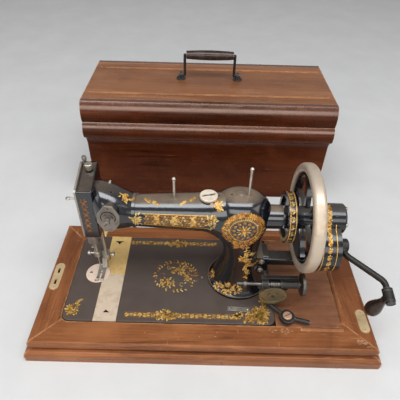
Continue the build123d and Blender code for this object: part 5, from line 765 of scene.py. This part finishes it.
class Fittings:
    """Turned and flat pieces that ride on one body, gathered in one mesh."""

    def __init__(self, name, body, slot):
        self.name, self.body, self.slot = name, body, slot
        self.verts, self.faces, self.looks, self.names = [], [], [], []

    def add(self, verts, faces, look):
        if look not in self.names:
            self.names.append(look)
        first = len(self.verts)
        self.verts.extend(verts)
        self.faces.extend(tuple(first + i for i in f) for f in faces)
        self.looks.extend([self.names.index(look)] * len(faces))

    def turned(self, at, way, profile, look, count=28):
        """Closed solid of revolution: profile gives (radius, height) along way, in millimetres."""
        way = Vector(way).normalized()
        side = way.orthogonal().normalized()
        other = way.cross(side)
        at = Vector(at)
        verts = []
        for r, h in profile:
            for i in range(count):
                a = math.tau * i / count
                verts.append((at + way * h + (side * math.cos(a) + other * math.sin(a)) * r) * MM)
        faces = []
        for row in range(len(profile) - 1):
            low, high = row * count, (row + 1) * count
            for i in range(count):
                j = (i + 1) % count
                faces.append((low + i, low + j, high + j, high + i))
        faces.append(tuple(reversed(range(count))))
        faces.append(tuple(range((len(profile) - 1) * count, len(profile) * count)))
        self.add(verts, faces, look)

    def slab(self, at, along, way, size, look, edge=0.25):
        """Flat piece with a bevelled top; size is length, width, thickness."""
        way, along = Vector(way).normalized(), Vector(along).normalized()
        across = way.cross(along)
        length, width, thick = size
        at = Vector(at)
        verts = []
        for inset, h in ((0, 0), (0, thick - edge), (edge, thick)):
            for sx, sy in ((-1, -1), (1, -1), (1, 1), (-1, 1)):
                verts.append((at + along * sx * (length / 2 - inset) + across * sy * (width / 2 - inset)
                              + way * h) * MM)
        faces = [(3, 2, 1, 0), (8, 9, 10, 11)]
        for row in (0, 4):
            for i in range(4):
                j = (i + 1) % 4
                faces.append((row + i, row + j, row + 4 + j, row + 4 + i))
        self.add(verts, faces, look)

    def screw(self, at, way, radius, height, look, turn):
        """Cheese-head screw with a slot, the slot a thin near-black slab of painted shade."""
        self.turned(at, way, ((radius, -0.4), (radius, height * 0.7), (radius * 0.93, height * 0.92),
                              (radius * 0.8, height), (POINT, height)), look)
        way = Vector(way).normalized()
        side = Matrix.Rotation(turn, 3, way) @ way.orthogonal()
        slot = (radius * 1.7, radius * 0.26, SLOT_T)
        self.slab(Vector(at) + way * (height - 0.12), side, way, slot, "hole", SLOT_EDGE)

    def coil(self, at, way, radius, length, turns, wire, look):
        """Wire spring that starts at a point and runs along way."""
        way = Vector(way).normalized()
        side = way.orthogonal().normalized()
        other = way.cross(side)
        steps, ring = 24 * turns, 10
        verts, faces = [], []
        for i in range(steps + 1):
            a = math.tau * turns * i / steps
            out = side * math.cos(a) + other * math.sin(a)
            middle = Vector(at) + out * radius + way * (length * i / steps)
            for j in range(ring):
                b = math.tau * j / ring
                verts.append((middle + (out * math.cos(b) + way * math.sin(b)) * wire) * MM)
        for i in range(steps):
            for j in range(ring):
                k = (j + 1) % ring
                faces.append((i * ring + j, i * ring + k, (i + 1) * ring + k, (i + 1) * ring + j))
        faces.append(tuple(range(ring)))
        faces.append(tuple(reversed(range(steps * ring, (steps + 1) * ring))))
        self.add(verts, faces, look)

    def done(self):
        mesh = bpy.data.meshes.new(self.name)
        mesh.from_pydata(self.verts, [], self.faces)
        for look in self.names:
            mesh.materials.append(LOOKS[look])
        mesh.polygons.foreach_set("material_index", self.looks)
        mesh.polygons.foreach_set("use_smooth", [len(f) == 4 for f in self.faces])
        piece = bpy.data.objects.new(self.name, mesh)
        bpy.context.scene.collection.objects.link(piece)
        mesh.set_sharp_from_angle(angle=math.radians(35))
        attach(piece, self.body)
        return piece


def above(targets, x, y):
    met = touch(targets, *from_above(x, y))
    return met[0] / MM, met[1]


def before(targets, x, z):
    met = touch(targets, *from_front(x, z))
    return met[0] / MM, met[1]


def head_fittings():
    """Thread post, screws, oil holes, badge plate and nuts that are fixed to the head."""
    bits = Fittings("head_fittings", "head", "nickel")
    post, _ = above(["arm_casting"], -164.5, 37)
    bits.turned(post, (0, 0, 1), ((3.4, -2), (3.4, 1.2), (2.6, 2), (2.6, 9), (3.2, 10), (3.2, 14),
                                  (2.4, 15.2), (POINT, 15.4)), "dull_nickel")
    for x, y, r in ((-180.5, 7, 2.4), (-169.5, -7.5, 2.4), (-3, 2.7, 1.8), (-190, 62, 2.6), (86, 68, 2.6)):
        point, up = above(["bed_plate", "needle_plate"], x, y)
        bits.screw(point, up, r, 0.9, "nickel", x)
    # Oil holes: near-black discs of painted shade
    for x, y, r in ((-126.3, 1.1, 2.4), (15.5, 9.3, 1.5), (32.7, 9.1, 1.6)):
        point, up = above(["arm_casting"], x, y)
        bits.turned(point, up, ((r, -0.5), (r, 0.12), (r * 0.7, 0.16), (POINT, 0.16)), "hole", 20)
    point, up = above(["arm_casting"], -131, 21)
    bits.turned(point, up, ((2.2, -0.5), (2.2, 1.0), (1.4, 1.4), (1.8, 2.6), (1.2, 3.4), (POINT, 3.6)),
                "nickel")
    for z, y in ((150, 6), (222, 36)):
        bits.screw((-172, y, z), (-1, 0, 0), 3.0, 1.2, "nickel", z)
    badge, up = above(["bed_plate"], BADGE_X, BADGE_Y)
    bits.slab(badge, (1, -BADGE_TURN, 0), up, (BADGE_L, BADGE_W, BADGE_T), "dull_nickel")
    for out in (-RIVET_OUT, RIVET_OUT):
        rivet = Vector((BADGE_X + out, BADGE_Y - out * BADGE_TURN, badge.z + BADGE_T))
        bits.turned(rivet, up, ((1.1, -0.2), (1.1, 0.2), (0.6, 0.45), (POINT, 0.5)), "nickel", 16)
    # Oil hole in the tension plate: a near-black disc of painted shade
    point, way = before(["tension_plate"], -125.3, 212)
    bits.turned(point, way, ((1.2, -0.3), (1.2, 0.15), (0.8, 0.2), (POINT, 0.2)), "hole", 16)
    for x, z in ((84, 96), (84, 77)):
        point, way = before(["arm_casting"], x, z)
        bits.turned(point, way, ((4.4, -1), (4.4, 2.2), (3.6, 3.0), (2.0, 3.2), (2.0, 4.6), (1.2, 5.2),
                                 (POINT, 5.3)), "steel", 24)
    for y, z in ((-40, 136.8), (-26, 108), (6, 106), (24, 128), (27, 178), (8, 190.5), (-11, 178)):
        met = touch(["gear_case_cover"], Vector((0.3, y * MM, z * MM)), Vector((-1, 0, 0)))
        if met:
            bits.screw(met[0] / MM, met[1], 2.6, 1.4, "steel", y)
    # Slot across the oil cap: a near-black slab of painted shade
    low, high = (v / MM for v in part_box("oil_cap_screw"))
    middle = (low + high) / 2
    slot = (19, 2.0, SLOT_T)
    bits.slab((middle.x, middle.y, high.z - 0.1), (1, 0.3, 0), (0, 0, 1), slot, "hole", SLOT_EDGE)
    bits.done()


def tension_fittings():
    """Slot in the tension nut and dark loop round it, both painted shade of slots, and the wound spring
    behind it.
    """
    low, high = (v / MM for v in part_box("tension_nut"))
    middle = (low + high) / 2
    knob = Fittings("tension_slot", "tension", "dark_iron")
    slot = (7.0, 1.3, SLOT_T)
    knob.slab((middle.x, low.y + 0.1, middle.z), (0.7, 0, 0.7), (0, -1, 0), slot, "hole", SLOT_EDGE)
    knob.done()
    loop = Ornament(63)
    angles = [math.radians(a) for a in range(-35, 216, 10)]
    loop.line([(middle.x + 9.4 * math.cos(a), middle.z + 10.4 * math.sin(a)) for a in angles], 1.3, SHADE_TONE)
    lay("tension_loop", "head", loop, from_front, ["tension_plate"], 0.1)
    low, high = (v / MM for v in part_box("tension_spring"))
    length = high.y - low.y - 2 * COIL_WIRE
    spring = Fittings("tension_coil", "head", "steel")
    spring.coil(((low.x + high.x) / 2, high.y - COIL_WIRE, (low.z + high.z) / 2), (0, -1, 0),
                (high.x - low.x) / 2 - COIL_WIRE, length, COIL_TURNS, COIL_WIRE, "steel")
    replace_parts(spring.done(), "tension_spring")


def plate_notch(name, body, target, x, y, turn):
    """Finger notch on a slide plate, pointing to the back or the front: a flat near-black piece of painted
    shade.
    """
    notch = Fittings(name, body, "dark_iron")
    point, _ = above([target], x, y)
    outline = [(-8, 0), (8, 0), (4.6, 2.4), (2.6, 3.2), (0, 7.6), (-2.6, 3.2), (-4.6, 2.4)]
    corners = range(len(outline))
    notch.add([(point + Vector((u, turn * v, 0.12))) * MM for u, v in outline],
              [tuple(corners) if turn > 0 else tuple(reversed(corners))], "hole")
    notch.done()


def winder_screw():
    bits = Fittings("winder_screw", "winder", "brass")
    point, up = above(["winder_frame"], 120.8, -70.2)
    bits.turned(point, up, ((6.6, -0.4), (6.6, 1.4), (5.8, 2.2), (3.0, 2.5), (POINT, 2.5)), "copper", 24)
    # Slot in the winder screw: a near-black slab of painted shade
    bits.slab(point + up * 2.42, (1, 0.5, 0), up, (11, 1.2, SLOT_T), "hole", SLOT_EDGE)
    bits.done()


def base_screws():
    """Screws of the strike plates and the hinge leaves."""
    bits = Fittings("base_screws", "base", "brass")
    for x, y, apart in ((-233.5, -0.5, 21), (233.5, -68, 14.5)):
        for side in (-1, 1):
            met = touch(["strike_plates"], *from_above(x, y + side * apart))
            if met:
                bits.screw(met[0] / MM, met[1], 2.0, 0.35, "strike", side + x)
    for x in (-185, 72):
        for side in (-1, 1):
            met = touch(["hinge_leaves"], *from_above(x + side * 8, 100))
            if met:
                bits.screw(met[0] / MM, met[1], 2.0, 0.35, "brass", side * x)
    bits.done()


def rail_scuffs():
    """Short pale marks where hands and the winder have rubbed the front rail."""
    scuffs = Ornament(62)
    for x, y, half_x, half_y, count in ((225, -100, 9, 4, 26), (110, -86, 17, 4, 22), (233, -107, 6, 3, 14),
                                        (20, -98, 110, 8, 8)):
        for _ in range(count):
            at_x = x + half_x * scuffs.rng.uniform(-1, 1)
            at_y = y + half_y * scuffs.rng.uniform(-1, 1)
            long, wide = scuffs.rng.uniform(1.5, 5), scuffs.rng.uniform(0.3, 0.8)
            scuffs.leaf(at_x, at_y, scuffs.rng.gauss(0.1, 0.5), long, wide, SCUFF)
    lay("rail_scuffs", "base", scuffs, from_above, ["base_rail_front"], 0.05)


head_fittings()
tension_fittings()
plate_notch("rear_plate_notch", "head", "slide_plate_rear", -146, 76, -1)
plate_notch("front_plate_notch", "front_plate", "slide_plate_front", -145.5, -65, 1)
winder_screw()
base_screws()
rail_scuffs()


# Floor, light and camera

def backdrop():
    mesh = bpy.data.meshes.new("floor")
    mesh.from_pydata([(-6, -6, 0), (6, -6, 0), (6, 6, 0), (-6, 6, 0)], [], [(0, 1, 2, 3)])
    s = Shader("pale_floor", Roughness=0.85)
    cloud = s.noise(s.place(), 9.0, 6.0, 0.6)
    s.set("Base Color", s.ramp(cloud, (0.3, (0.56, 0.55, 0.54)), (0.7, (0.61, 0.6, 0.585))))
    mesh.materials.append(s.mat)
    floor = bpy.data.objects.new("floor", mesh)
    bpy.context.scene.collection.objects.link(floor)


def lamp(name, at, aim, size, power, colour):
    data = bpy.data.lights.new(name, "AREA")
    data.shape = "RECTANGLE"
    data.size, data.size_y = size
    data.energy = power
    data.color = colour
    light = bpy.data.objects.new(name, data)
    light.location = at
    light.rotation_euler = (Vector(aim) - Vector(at)).to_track_quat("-Z", "Y").to_euler()
    bpy.context.scene.collection.objects.link(light)


backdrop()
world = bpy.data.worlds.new("studio")
world.use_nodes = True
world.node_tree.nodes["Background"].inputs[0].default_value = (0.95, 0.97, 1.0, 1)
world.node_tree.nodes["Background"].inputs[1].default_value = 0.36
bpy.context.scene.world = world
lamp("key_strip", (0.05, -0.52, 2.1), (0, 0.0, 0.1), (2.4, 0.8), 42, (0.92, 0.96, 1.0))
lamp("front_fill", (0.0, -2.1, 1.2), (0, 0.0, 0.1), (2.6, 1.0), 26, (1.0, 0.98, 0.96))
lamp("left_fill", (-1.8, -0.5, 1.2), (0, 0.1, 0.1), (1.2, 1.2), 7, (1.0, 0.96, 0.92))
lamp("right_fill", (1.8, -0.7, 1.2), (0, 0.1, 0.1), (1.2, 1.0), 7, (1.0, 0.96, 0.92))
bpy.context.scene.view_settings.view_transform = "Standard"

CAMERA_AT = (-0.01074, -0.39392, 0.55529)
PITCH, YAW, ROLL = 0.7241, 0.0029, 0.0270
ahead = Vector((math.sin(YAW) * math.cos(PITCH), math.cos(YAW) * math.cos(PITCH), -math.sin(PITCH)))
level = ahead.cross(Vector((0, 0, 1))).normalized()
upward = level.cross(ahead)
right = level * math.cos(ROLL) + upward * math.sin(ROLL)
top = upward * math.cos(ROLL) - level * math.sin(ROLL)
lens = bpy.data.cameras.new("camera")
lens.lens, lens.sensor_width, lens.sensor_fit = 36.0, 36.0, "HORIZONTAL"
lens.clip_start = 0.01
camera = bpy.data.objects.new("camera", lens)
camera.matrix_world = Matrix((right, top, -ahead)).transposed().to_4x4()
camera.location = CAMERA_AT
bpy.context.scene.collection.objects.link(camera)
bpy.context.scene.camera = camera
